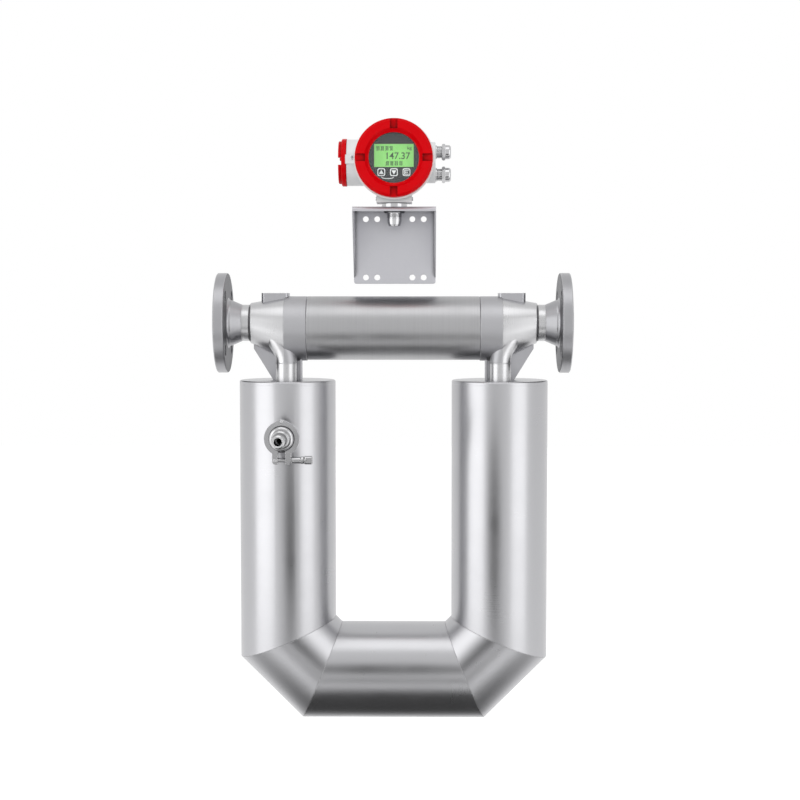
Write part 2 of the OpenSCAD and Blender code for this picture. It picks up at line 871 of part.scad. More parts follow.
// One half of the clamp, on the side that s names, with its lug and its share of the hinge
module clamp_half(s) {
  knuckle = clamp_w / 3;
  difference() {
    linear_extrude(clamp_w, center = true) difference() {
      union() {
        clamp_outline();
        polygon([
          [s * lug_in, -0.8 * clamp_r], [s * lug_in, -lug_bottom], [s * (lug_out - lug_chamfer), -lug_bottom],
          [s * lug_out, -lug_bottom + lug_chamfer], [s * lug_out, -0.8 * clamp_r]
        ]);
      }
      circle(r = clamp_bore_r);
      translate([s > 0 ? -big : -0.2, -big]) square([big + 0.2, 2 * big]);
      translate([-lug_in, -big]) square([2 * lug_in, big - 10]);
    }
    clamp_groove();
    for (z = s > 0 ? [0] : [-knuckle, knuckle])
      translate([0, hinge_z, z]) cylinder(r = hinge_r + 0.3, h = knuckle + 0.4, center = true);
    translate([0, hinge_z, 0]) cylinder(r = hinge_pin_r, h = 2 * clamp_w, center = true);
    translate([s > 0 ? 0 : -2 * lug_out, -lug_bottom - 1, -bolt_slot / 2])
      cube([2 * lug_out, lug_bottom + 1 + bolt_z + (s > 0 ? bolt_slot / 2 : eye_r + 0.4), bolt_slot]);
    if (s < 0) bolt_pin_hole(bolt_pin_r);
  }
  for (z = s > 0 ? [-knuckle, knuckle] : [0])
    translate([0, hinge_z, z]) difference() {
      intersection() {
        cylinder(r = hinge_r, h = knuckle - 0.2, center = true);
        translate([0, hinge_r * 2 - hinge_z, 0]) cylinder(r = big, h = knuckle, center = true);
      }
      cylinder(r = hinge_pin_r, h = knuckle, center = true);
      translate([0, -hinge_z, 0]) cylinder(r = clamp_bore_r, h = knuckle, center = true);
    }
}

module bolt_pin_hole(r) translate([bolt_x, bolt_z, 0]) cylinder(r = r, h = 2 * clamp_w, center = true);

module clamp_left_half() color(brushed) at_port() clamp_half(-1);

module clamp_right_half() color(brushed) at_port() clamp_half(1);

// A rivet with a low head at each end
module rivet(r, head_r, l) {
  cylinder(r = r, h = l, center = true);
  for (m = [0, 1]) mirror([0, 0, m]) translate([0, 0, l / 2]) bevelled_disc(head_r, 1, 0.4);
}

module clamp_hinge_pin() color(steel) at_port() translate([0, hinge_z, 0]) rivet(hinge_pin_r, 2.6, clamp_w);

module clamp_bolt_pin() color(steel) at_port() translate([bolt_x, bolt_z, 0]) rivet(bolt_pin_r, 3, clamp_w);

module clamp_swing_bolt() {
  l = lug_out + nut_gap + clamp_nut_l - 6 - bolt_x;
  color(steel) at_port() translate([bolt_x, bolt_z, 0]) difference() {
    union() {
      cylinder(r = eye_r, h = bolt_slot - 0.6, center = true);
      to_x() cylinder(d = bolt_d, h = l);
    }
    cylinder(r = bolt_pin_r + pin_play, h = clamp_w, center = true);
  }
}

// A long nut: a sleeve, a bead and a thicker end with two flats to turn it by
module clamp_nut() {
  sleeve = bolt_d / 2 + 2;
  thick = sleeve + 1.4;
  l = clamp_nut_l;
  hole = bolt_d / 2 + pin_play;
  color(steel) at_port() translate([lug_out + nut_gap, bolt_z, 0]) difference() {
    to_x() rotate_extrude() polygon([
      [hole, 0], [sleeve - 0.5, 0], [sleeve, 0.5], [sleeve, 0.42 * l], [sleeve - 0.4, 0.44 * l],
      [sleeve + 0.6, 0.46 * l], [sleeve + 0.6, 0.58 * l], [sleeve - 0.4, 0.6 * l],
      [thick, 0.64 * l], [thick, l - 1], [thick - 1, l], [0, l], [0, l - 4], [hole, l - 4]
    ]);
    for (m = [0, 1]) mirror([0, 0, m]) translate([0.7 * l, -thick, sleeve - 0.2])
      cube([0.3 * l + 1, 2 * thick, thick]);
  }
}

// ---- Transmitter: local +Z points to the front, +Y points up ----

module at_display() translate([neck_x, 0, display_z]) to_front() children();

// The side cover's axis: local +Z points to the inlet, away from the housing
module at_barrel() translate([neck_x, barrel_y, display_z]) to_back_x() children();

// Four wrench slots round a cover's face, from radius r0 outwards
module wrench_slots(r0, z) {
  for (i = [0:3]) rotate([0, 0, 90 * i]) translate([r0, -slot_w / 2, z]) cube([big, slot_w, slot_t + 1]);
}

module housing_body() {
  front = -housing_front;
  lip_r = cover_r + housing_lip;
  at_display() rotate_extrude($fn = 96) polygon([
    [0, -barrel_y], [0.7 * housing_r, -barrel_y], [housing_r, -housing_back],
    [housing_r, front - lip_foot], [lip_r, front - lip_l],
    [lip_r, front - 1], [lip_r - 1, front], [0, front]
  ]);
  at_barrel() translate([0, 0, -1]) cylinder(r = barrel_r, h = barrel_out + 1, $fn = 96);
  at_barrel() mirror([0, 0, 1]) bevelled_disc(boss_r, boss_out, 1);
  translate([neck_x - foot_w / 2, -foot_w / 2, foot_z])
    cube([foot_w, foot_w, display_z - 0.45 * cover_d - foot_z + 25]);
}

module housing_cavities() {
  front = -housing_front;
  floor_z = -cavity_back;
  at_display() {
    translate([0, 0, floor_z]) cylinder(r = cavity_r, h = front, $fn = 96);
    translate([0, 0, cover_y - cover_l - spigot_l - cover_play])
      cylinder(r = spigot_r + cover_play, h = spigot_l + 2, $fn = 96);
    translate([0, 0, front - seal_t]) cylinder(r = spigot_r + seal_w + 0.1, h = seal_t + 1, $fn = 96);
    translate([0, 0, -barrel_y]) cylinder(r = wire_r, h = barrel_y + floor_z + 1);
  }
  at_barrel() {
    cylinder(r = barrel_bore_r, h = barrel_out + 1, $fn = 96);
    translate([0, 0, -boss_out + boss_wall])
      cylinder(r = boss_r - housing_wall, h = boss_out, $fn = 96);
    translate([0, 0, barrel_out - spigot_l - cover_play])
      cylinder(r = side_spigot_r + cover_play, h = spigot_l + 2, $fn = 96);
    translate([0, 0, barrel_out - seal_t])
      cylinder(r = side_spigot_r + side_seal_w + 0.1, h = seal_t + 1, $fn = 96);
  }
}

module housing() {
  color(white_paint) difference() {
    union() {
      difference() {
        housing_body();
        housing_cavities();
      }
      // Pad that the terminal block is screwed to
      translate([neck_x - pad_x, barrel_y - barrel_r + 2, display_z - pad_h / 2])
        cube([pad_w, pad_y - barrel_y + barrel_r - 2, pad_h]);
    }
    // Holes for the glands, the wires through the neck, the journal and the neck screws
    at_glands() translate([0, 0, -boss_wall - 1]) cylinder(r = gland_r, h = boss_wall + 2);
    translate([neck_x, 0, foot_z]) {
      translate([0, 0, -1]) cylinder(r = journal_r + pin_play, h = journal_l + 1.3);
      cylinder(r = wire_r, h = display_z - cavity_r - foot_z + 10);
    }
    at_neck_screws() cylinder(r = neck_screw_r, h = foot_w / 2 - journal_r + 1);
  }
}

module front_cover() {
  back = cover_y - cover_l;
  seat = cover_y - glass_drop;
  inner = spigot_r - spigot_wall;
  slot_r = slot_in_d / 2;
  dip = cover_y - slot_t;
  color(red_paint) at_display() difference() {
    rotate_extrude($fn = 96) polygon([
      [inner, back - spigot_l], [spigot_r, back - spigot_l], [spigot_r, back], [cover_r - 1, back],
      [cover_r, back + 1], [cover_r, cover_y - cover_bevel], [cover_r - cover_bevel, cover_y],
      [slot_r, cover_y], [window_r + 2, dip], [window_r, dip - 0.8], [window_r, seat],
      [glass_r + 0.1, seat], [glass_r + 0.1, seat - glass_t], [inner, seat - glass_t]
    ]);
    wrench_slots(slot_r - 1, dip);
  }
}

module window_glass() {
  color([0.7, 0.8, 0.8, 0.3]) at_display() translate([0, 0, cover_y - glass_drop - glass_t])
    cylinder(r = glass_r, h = glass_t, $fn = 96);
}

module window_retainer() {
  color([0.3, 0.3, 0.32]) at_display()
    translate([0, 0, cover_y - glass_drop - glass_t - retainer_t]) difference() {
      cylinder(r = spigot_r - spigot_wall - 0.05, h = retainer_t, $fn = 96);
      translate([0, 0, -1]) cylinder(r = window_r + 0.5, h = retainer_t + 2, $fn = 96);
    }
}

// A flat sealing ring round a spigot
module seal_ring(r, w) {
  difference() {
    cylinder(r = r + w, h = seal_t - 0.2, $fn = 96);
    translate([0, 0, -1]) cylinder(r = r + 0.2, h = seal_t + 1, $fn = 96);
  }
}

module front_cover_seal() {
  color(rubber) at_display() translate([0, 0, -housing_front - seal_t + 0.1]) seal_ring(spigot_r, seal_w);
}

module side_cover_seal() {
  color(rubber) at_barrel() translate([0, 0, barrel_out - seal_t + 0.1]) seal_ring(side_spigot_r, side_seal_w);
}

module side_cover() {
  base = barrel_out + cover_play;
  r = barrel_r + 1;
  ring = lug_ring_d / 2;
  ring_z = base + side_cover_l - lug_ring_l;
  inner = side_spigot_r - spigot_wall;
  color(red_paint) at_barrel() difference() {
    rotate_extrude($fn = 96) polygon([
      [0, base + 2], [inner, base + 2], [inner, base - spigot_l], [side_spigot_r, base - spigot_l],
      [side_spigot_r, base], [r - 0.6, base], [r, base + 0.6], [r, ring_z - 1.5], [r - 1.5, ring_z],
      [ring, ring_z], [ring, ring_z + lug_ring_l - 1], [ring - 1, ring_z + lug_ring_l],
      [ring - lug_ring_w, ring_z + lug_ring_l], [ring - lug_ring_w - 2, ring_z], [0, ring_z]
    ]);
    wrench_slots(ring - lug_ring_w - 3, ring_z);
  }
}

module display_faceplate() {
  color([0.13, 0.14, 0.15]) at_display() translate([0, 0, face_z - faceplate_t]) difference() {
    cylinder(d = faceplate_d, h = faceplate_t, $fn = 96);
    translate([-lcd_w / 2 - 0.1, lcd_up - lcd_h / 2 - 0.1, -1])
      cube([lcd_w + 0.2, lcd_h + 0.2, faceplate_t + 2]);
  }
}

module display_glass() {
  color([0.60, 0.88, 0.42]) at_display()
    translate([-lcd_w / 2, lcd_up - lcd_h / 2, upper_board_z + board_t])
      cube([lcd_w, lcd_h, face_z - 0.6 - upper_board_z - board_t]);
}

module circuit_board(z) at_display() translate([0, 0, z]) cylinder(d = board_d, h = board_t, $fn = 96);

module display_board() color(board_green) circuit_board(upper_board_z);

module main_board() color(board_green) circuit_board(lower_board_z);

// Pillars between the housing's floor, the two boards and the faceplate
module board_pillars() {
  levels = [
    [-cavity_back, lower_board_z], [lower_board_z + board_t, upper_board_z],
    [upper_board_z + board_t, face_z - faceplate_t]
  ];
  color(brushed) at_display() for (i = [0:3], l = levels)
    rotate([0, 0, 45 + 90 * i]) translate([board_d / 2 - 3.5, 0, l[0]])
      cylinder(r = pillar_r, h = l[1] - l[0], $fn = 24);
}

module at_cover_lock() {
  translate([neck_x - barrel_out - lock_over, barrel_y - barrel_r - lock_lift, display_z + lock_z]) children();
}

// A hook on the barrel that keeps the side cover from turning
module cover_lock() {
  hook = lock_over + 2;
  color(white_paint) at_cover_lock() difference() {
    union() {
      translate([0, -lock_t, -lock_w / 2]) cube([lock_l, lock_t, lock_w]);
      translate([hook, -lock_t, -lock_w / 2]) cube([lock_l - hook, 2 * lock_t, lock_w]);
    }
    translate([lock_screw_x, 1, lock_screw_z]) to_front() cylinder(r = lock_thread_r, h = lock_t + 2);
    translate([-1, barrel_r + lock_lift, -lock_z]) to_x() cylinder(r = barrel_r, h = lock_l + 2, $fn = 96);
  }
}

module cover_lock_screw() {
  color(steel) at_cover_lock() translate([lock_screw_x, 0, lock_screw_z]) to_front() {
    translate([0, 0, 0.2]) cylinder(r = lock_thread_r, h = lock_t - 0.2);
    translate([0, 0, lock_t]) difference() {
      bevelled_disc(3.6, 2.2, 0.5);
      translate([0, 0, 1.2]) cylinder(r = 2, h = 2, $fn = 6);
    }
  }
}

module terminal_block() {
  color([0.12, 0.13, 0.15]) translate([neck_x - pad_x + terminal_margin, pad_y, display_z - terminal_h / 2]) difference() {
    cube([pad_w - 2 * terminal_margin, terminal_y, terminal_h]);
    for (i = [0:terminal_n - 1]) translate([-1, terminal_y - 3 * terminal_wire_r, (i + 0.5) * terminal_h / terminal_n])
      to_x() cylinder(r = terminal_wire_r, h = pad_w);
  }
}

module terminal_screws() {
  color(steel) for (i = [0:terminal_n - 1])
    translate([neck_x - pad_x + pad_w / 2, pad_y + terminal_y, display_z + ((i + 0.5) / terminal_n - 0.5) * terminal_h])
      to_rear() difference() {
        cylinder(r = 2.2, h = 1.6);
        translate([-3, -0.4, 0.8]) cube([6, 0.8, 2]);
      }
}

// ---- Cable glands: local +Z points out of the boss ----

module at_glands() {
  for (s = [-1, 1]) translate([neck_x + boss_out, barrel_y, display_z + s * gland_pitch / 2 - gland_drop])
    to_x() children();
}

module gland_bodies() {
  color(steel) at_glands() difference() {
    union() {
      translate([0, 0, -boss_wall]) cylinder(r = gland_r, h = boss_wall + gland_body_l);
      bevelled_disc(gland_r + 1.6, gland_ring, 0.5);
      translate([0, 0, gland_body_l]) hexagon_nut(gland_af, gland_hex_l);
    }
    translate([0, 0, -boss_wall - 1]) cylinder(r = gland_sleeve_r, h = boss_wall + gland_body_l + gland_hex_l + 2);
  }
}

module gland_nuts() {
  r = gland_af / 2 - 0.2;
  color(steel) at_glands() translate([0, 0, gland_body_l + gland_hex_l]) rotate_extrude() polygon(concat(
    [[gland_sleeve_r, 0], [r, 0]],
    arc([r - gland_round, gland_dome_l - gland_round], gland_round, 0, 90),
    [[gland_bore_d / 2, gland_dome_l], [gland_bore_d / 2, gland_dome_l - 2], [gland_sleeve_r, gland_dome_l - 2]]
  ));
}

// The rubber sleeve inside a gland, as an open ring
module gland_seals() {
  r = gland_sleeve_r;
  color(rubber) at_glands() translate([0, 0, gland_body_l]) difference() {
    cylinder(r = r, h = gland_hex_l + gland_dome_l - 2);
    translate([0, 0, -1]) cylinder(r = r - 2.5, h = gland_hex_l + gland_dome_l);
  }
}

// ---- Neck and wall bracket ----

module neck_stem() {
  top = foot_z + journal_l;
  screw_z = foot_z + neck_screw_up;
  groove = journal_r - 1.2;
  color(brushed) translate([neck_x, 0, 0]) rotate_extrude() polygon([
    [wire_r, stem_end], [stem_r, stem_end], [stem_r, bracket_top], [collar_d / 2 - 0.6, bracket_top],
    [collar_d / 2, bracket_top + 0.6], [collar_d / 2, collar_top - 0.6], [collar_d / 2 - 0.6, collar_top],
    [journal_r, collar_top], [journal_r, screw_z - neck_screw_r - 0.5], [groove, screw_z - neck_screw_r - 0.5],
    [groove, screw_z + neck_screw_r + 0.5], [journal_r, screw_z + neck_screw_r + 0.5], [journal_r, top], [wire_r, top]
  ]);
}

// The two screws in the foot: local +Z points outwards, and z = 0 lies beside the journal's groove
module at_neck_screws() {
  for (a = [0, 180]) translate([neck_x, 0, foot_z + neck_screw_up]) rotate([0, 0, a]) to_x()
    translate([0, 0, journal_r - 0.9]) children();
}

module neck_screws() {
  color(steel) at_neck_screws() difference() {
    cylinder(r = neck_screw_r, h = foot_w / 2 - journal_r + neck_screw_out);
    translate([0, 0, foot_w / 2 - journal_r + neck_screw_out - 2.5]) cylinder(r = 1.7, h = 3, $fn = 6);
  }
}

module neck_lock_nut() {
  color(steel) translate([neck_x, 0, bracket_top - bracket_t - lock_nut_t]) difference() {
    hexagon_nut(lock_nut_af, lock_nut_t);
    translate([0, 0, -1]) cylinder(r = stem_r, h = lock_nut_t + 2);
  }
}

module neck_gland_nut() {
  color(steel) translate([neck_x, 0, 0]) rotate_extrude() polygon([
    [wire_r, stem_end], [stem_r, stem_end], [stem_r, stem_end - 2], [stem_r - 1.6, neck_tip + 3],
    [stem_r - 3, neck_tip], [wire_r - 2, neck_tip], [wire_r - 2, neck_tip + 2], [wire_r, neck_tip + 2]
  ]);
}

module neck_gland_seal() {
  color(rubber) translate([neck_x, 0, neck_tip + 2]) difference() {
    cylinder(r = wire_r, h = neck_nut_l + 4);
    translate([0, 0, -1]) cylinder(r = wire_r - 4, h = neck_nut_l + 6);
  }
}

// The plate's outline seen from the front, its lower corners rounded
module bracket_plate_outline() {
  w = bracket_x / 2;
  c = plate_corner;
  polygon(concat(
    [[-w, -bracket_bend], [w, -bracket_bend]],
    arc([w - c, c - bracket_h], c, 0, -90),
    arc([c - w, c - bracket_h], c, -90, -180)
  ));
}

// The folded top of the bracket from its lip over the shelf to the plate, as [-z, y]
function bracket_fold() = let (b = bracket_bend, i = bracket_bend - bracket_t) [
  for (p = concat(
    [[bracket_front, -lip_h]],
    arc([bracket_front + b, -b], b, 180, 90), arc([bracket_back - b, -b], b, 90, 0),
    arc([bracket_back - b, -b], i, 0, 90), arc([bracket_front + b, -b], i, 90, 180),
    [[bracket_front + bracket_t, -lip_h]]
  )) [-p[1], p[0]]
];

module wall_bracket() {
  w = bracket_x / 2;
  b = bracket_bend;
  flange_end = bracket_top - hole_top_z + hole_z;
  color(sheet_steel) translate([neck_x, 0, 0]) difference() {
    union() {
      // Plate against the wall
      translate([0, bracket_back, bracket_top]) to_front() linear_extrude(bracket_t) bracket_plate_outline();
      // Shelf under the collar, folded down to the lip in front and to the plate behind
      translate([-w, 0, bracket_top]) to_x() linear_extrude(bracket_x) polygon(bracket_fold());
      // Side flanges that taper down to the plate
      for (x = [-w, w - bracket_t]) translate([x, 0, bracket_top]) to_x()
        linear_extrude(bracket_t) polygon([
          [bracket_t, bracket_front + b], [b, bracket_front], [flange_end, bracket_back - bracket_t],
          [flange_end, bracket_back], [b, bracket_back], [bracket_t, bracket_back - b]
        ]);
    }
    translate([0, 0, bracket_top - bracket_t - 1]) cylinder(r = stem_r + 0.2, h = bracket_t + 2);
    for (sx = [-1, 1], w2 = [hole_inner_x, hole_outer_x], z = [0, hole_z])
      translate([sx * w2 / 2, bracket_back + 1, hole_top_z - z]) to_front()
        cylinder(d = screw_hole_d, h = bracket_t + 2);
  }
}

// ---- Show ----

inlet_flange();
outlet_flange();
inlet_splitter();
outlet_splitter();
centre_tube();
inlet_leg_shell();
inlet_corner_shell();
bottom_shell();
outlet_corner_shell();
outlet_leg_shell();
inlet_leg_cap();
outlet_leg_cap();
inlet_top_channel();
outlet_top_channel();
inlet_gusset();
outlet_gusset();
node_plates();
front_flow_tube();
rear_flow_tube();
coil_brackets();
magnet_brackets();
drive_coil();
pickoff_coils();
drive_magnet();
pickoff_magnets();
temperature_sensor();
connector_stub();
connector_gasket();
signal_connector();
clamp_left_half();
clamp_right_half();
clamp_hinge_pin();
clamp_swing_bolt();
clamp_bolt_pin();
clamp_nut();
housing();
front_cover();
window_glass();
window_retainer();
front_cover_seal();
display_faceplate();
display_glass();
display_board();
main_board();
board_pillars();
side_cover();
side_cover_seal();
cover_lock();
cover_lock_screw();
terminal_block();
terminal_screws();
gland_bodies();
gland_nuts();
gland_seals();
neck_stem();
neck_screws();
neck_lock_nut();
neck_gland_nut();
neck_gland_seal();
wall_bracket();
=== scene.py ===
"""Dresses a twin-tube coriolis flow meter and its remote transmitter.

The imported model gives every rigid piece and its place. This file adds the
finishes, the studio and the small forms that sit on the pieces: weld beads,
threads, the characters of the display and the key symbols. It also stands
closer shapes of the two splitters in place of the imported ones.
"""

import logging
import math
from dataclasses import dataclass
from enum import Enum
from typing import Iterable, Sequence

import bpy
import numpy as np
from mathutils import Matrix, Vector


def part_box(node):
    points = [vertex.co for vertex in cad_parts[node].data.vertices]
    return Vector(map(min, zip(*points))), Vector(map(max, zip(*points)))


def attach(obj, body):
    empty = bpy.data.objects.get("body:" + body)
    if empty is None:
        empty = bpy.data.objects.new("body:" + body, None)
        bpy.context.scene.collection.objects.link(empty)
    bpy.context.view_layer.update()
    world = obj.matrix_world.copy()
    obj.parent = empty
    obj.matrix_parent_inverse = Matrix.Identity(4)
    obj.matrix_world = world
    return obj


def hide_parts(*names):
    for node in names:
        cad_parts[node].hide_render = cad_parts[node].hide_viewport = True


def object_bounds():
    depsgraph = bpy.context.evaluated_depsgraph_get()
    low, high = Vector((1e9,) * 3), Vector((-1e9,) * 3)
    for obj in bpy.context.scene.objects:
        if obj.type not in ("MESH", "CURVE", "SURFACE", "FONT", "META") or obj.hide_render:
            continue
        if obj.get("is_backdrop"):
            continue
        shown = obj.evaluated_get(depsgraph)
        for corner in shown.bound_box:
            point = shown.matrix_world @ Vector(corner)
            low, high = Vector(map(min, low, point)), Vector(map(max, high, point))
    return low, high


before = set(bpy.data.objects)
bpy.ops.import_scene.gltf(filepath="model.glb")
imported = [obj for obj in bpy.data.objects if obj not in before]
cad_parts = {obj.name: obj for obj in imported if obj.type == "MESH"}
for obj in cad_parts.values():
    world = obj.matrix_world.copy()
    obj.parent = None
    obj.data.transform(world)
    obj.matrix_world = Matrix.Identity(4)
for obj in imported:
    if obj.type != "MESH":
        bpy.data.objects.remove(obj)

Vec = tuple[float, float, float]
Colour = tuple[float, float, float]
Socket = bpy.types.NodeSocket
LOG = logging.getLogger("flow_meter")
MM = 0.001
ORIGIN = (0.0, 0.0, 0.0)
SIDES = ("inlet", "outlet")
ROWS = ("front", "rear")


class Axis(Enum):
    """The axis that a turned or brushed piece was worked around."""

    X = (1.0, 0.0, 0.0)
    Y = (0.0, 1.0, 0.0)
    Z = (0.0, 0.0, 1.0)


class Slot(Enum):
    """The record's material slots, passed along with each new piece."""

    STEEL = "polished_steel"
    FASTENER = "fastener_steel"
    PLASTIC = "black_plastic"
    DISPLAY = "display_green"


# The inputs of an effect that runs round an axis, and the bands that a noise
# and the share of open sky are read from.
AXIAL_INPUTS = {"Point": None, "Centre": ORIGIN, "Axis": Axis.Z.value}
CLOUD_BAND = (0.32, 0.68)
STREAK_BAND = (0.35, 0.65)
SKY_BAND = (0.35, 0.92)

# ---- Frame: where the pieces are ----


def low(node: str) -> np.ndarray:
    """Lowest corner of a node's box, in metres."""
    return np.array(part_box(node)[0])


def high(node: str) -> np.ndarray:
    """Highest corner of a node's box, in metres."""
    return np.array(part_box(node)[1])


def middle(node: str) -> np.ndarray:
    """Middle of a node's box, in metres."""
    return (low(node) + high(node)) / 2


def extent(node: str) -> np.ndarray:
    """Size of a node's box, in metres."""
    return high(node) - low(node)


def vec(values: Iterable[float]) -> Vec:
    """Three plain floats, as Blender's sockets take them."""
    x, y, z = (float(v) for v in values)
    return (x, y, z)


# ---- Nodes ----


class Wiring:
    """Adds nodes to a tree and links them by socket name."""

    def __init__(self, tree: bpy.types.NodeTree) -> None:
        """Keeps the tree that the nodes go into."""
        self.tree = tree

    def put(self, node: bpy.types.Node, inputs: dict) -> None:
        """Sets or links inputs of a node.

        Args:
            node: The node.
            inputs: For each input's name or index, an output socket, a number,
                a vector or a colour of three numbers.
        """
        for name, value in inputs.items():
            socket = node.inputs[name]
            if isinstance(value, Socket):
                self.tree.links.new(value, socket)
            elif socket.type == "RGBA":
                socket.default_value = (*value, 1.0)
            else:
                socket.default_value = value

    def add(self, kind: str, inputs: dict | None = None, **settings: object) -> bpy.types.Node:
        """Adds one node.

        Args:
            kind: Blender's name of the node type.
            inputs: What the node's inputs are set to or linked with.
            settings: Properties of the node itself.

        Returns:
            The new node.
        """
        node = self.tree.nodes.new(kind)
        for name, value in settings.items():
            setattr(node, name, value)
        self.put(node, inputs or {})
        return node

    def effect(self, tree: bpy.types.NodeTree, **inputs: object) -> bpy.types.bpy_prop_collection:
        """Adds a node group and returns its outputs."""
        return self.add("ShaderNodeGroup", inputs, node_tree=tree).outputs

    def point(self) -> Socket:
        """The shaded point in the object's own coordinates."""
        return self.add("ShaderNodeTexCoord").outputs["Object"]

    def seen(self) -> Socket:
        """One for rays from the eye, from gloss and through glass, and zero for the rest."""
        ray = self.add("ShaderNodeLightPath").outputs
        level = self.math("MAXIMUM", ray["Is Camera Ray"], ray["Is Glossy Ray"])
        return self.math("MAXIMUM", level, ray["Is Transmission Ray"])

    def math(self, operation: str, a: object, b: object = 0.0, clamp: bool = False) -> Socket:
        """Adds a Math node and returns its output."""
        node = self.add("ShaderNodeMath", {0: a, 1: b}, operation=operation, use_clamp=clamp)
        return node.outputs[0]

    def vector(self, operation: str, a: object, b: object = ORIGIN) -> Socket:
        """Adds a Vector Math node and returns its vector, or its number where it gives one."""
        node = self.add("ShaderNodeVectorMath", {0: a, 1: b}, operation=operation)
        return node.outputs["Value" if operation in ("DOT_PRODUCT", "LENGTH") else "Vector"]

    def scale(self, vector: object, factor: object) -> Socket:
        """Multiplies a vector by a number."""
        values = {0: vector, "Scale": factor}
        return self.add("ShaderNodeVectorMath", values, operation="SCALE").outputs["Vector"]

    def noise(self, place: Socket, scale: object, detail: float, roughness: float) -> Socket:
        """Adds a Noise Texture and returns its value."""
        values = {"Vector": place, "Scale": scale, "Detail": detail, "Roughness": roughness}
        return self.add("ShaderNodeTexNoise", values).outputs["Fac"]

    def remap(self, value: object, source: Sequence[object], target: Sequence[object]) -> Socket:
        """Maps a value from one range to another, held inside the target range."""
        names = ("From Min", "From Max", "To Min", "To Max")
        ends = dict(zip(names, (*source, *target)))
        return self.add("ShaderNodeMapRange", {"Value": value, **ends}).outputs["Result"]

    def blend(self, share: object, first: object, second: object) -> Socket:
        """Mixes two colours by a share from 0 to 1."""
        values = {0: share, 6: first, 7: second}
        return self.add("ShaderNodeMix", values, data_type="RGBA").outputs[2]

    def bump(self, height: Socket, depth: float, **base: Socket) -> Socket:
        """Bends a normal, the piece's own where none is given, by a height."""
        values = {"Strength": 1.0, "Distance": depth, "Height": height, **base}
        return self.add("ShaderNodeBump", values).outputs[0]


class EffectGroup(Wiring):
    """A shader node group that finishes share.

    Attributes:
        given: The group's inputs, as sockets to read from.
    """

    def __init__(self, name: str, inputs: dict[str, object]) -> None:
        """Makes the group.

        Args:
            name: The group's name.
            inputs: Each input's default: a number, a vector, or None for a point.
        """
        super().__init__(bpy.data.node_groups.new(name, "ShaderNodeTree"))
        for key, value in inputs.items():
            kind = "NodeSocketFloat" if isinstance(value, float) else "NodeSocketVector"
            socket = self.tree.interface.new_socket(key, in_out="INPUT", socket_type=kind)
            if value is not None:
                socket.default_value = value
        self.given = self.add("NodeGroupInput").outputs

    def round_axis(self) -> tuple[Socket, Socket, Socket]:
        """The arm from the group's centre to its point, and its way along and off the axis."""
        arm = self.vector("SUBTRACT", self.given["Point"], self.given["Centre"])
        along = self.vector("DOT_PRODUCT", arm, self.given["Axis"])
        out = self.vector("SUBTRACT", arm, self.scale(self.given["Axis"], along))
        return arm, along, self.vector("LENGTH", out)

    def close(self, **results: Socket) -> bpy.types.NodeTree:
        """Gives the group its outputs and returns its tree."""
        for key, value in results.items():
            kind = "NodeSocketVector" if value.type == "VECTOR" else "NodeSocketFloat"
            self.tree.interface.new_socket(key, in_out="OUTPUT", socket_type=kind)
        self.put(self.add("NodeGroupOutput"), results)
        return self.tree


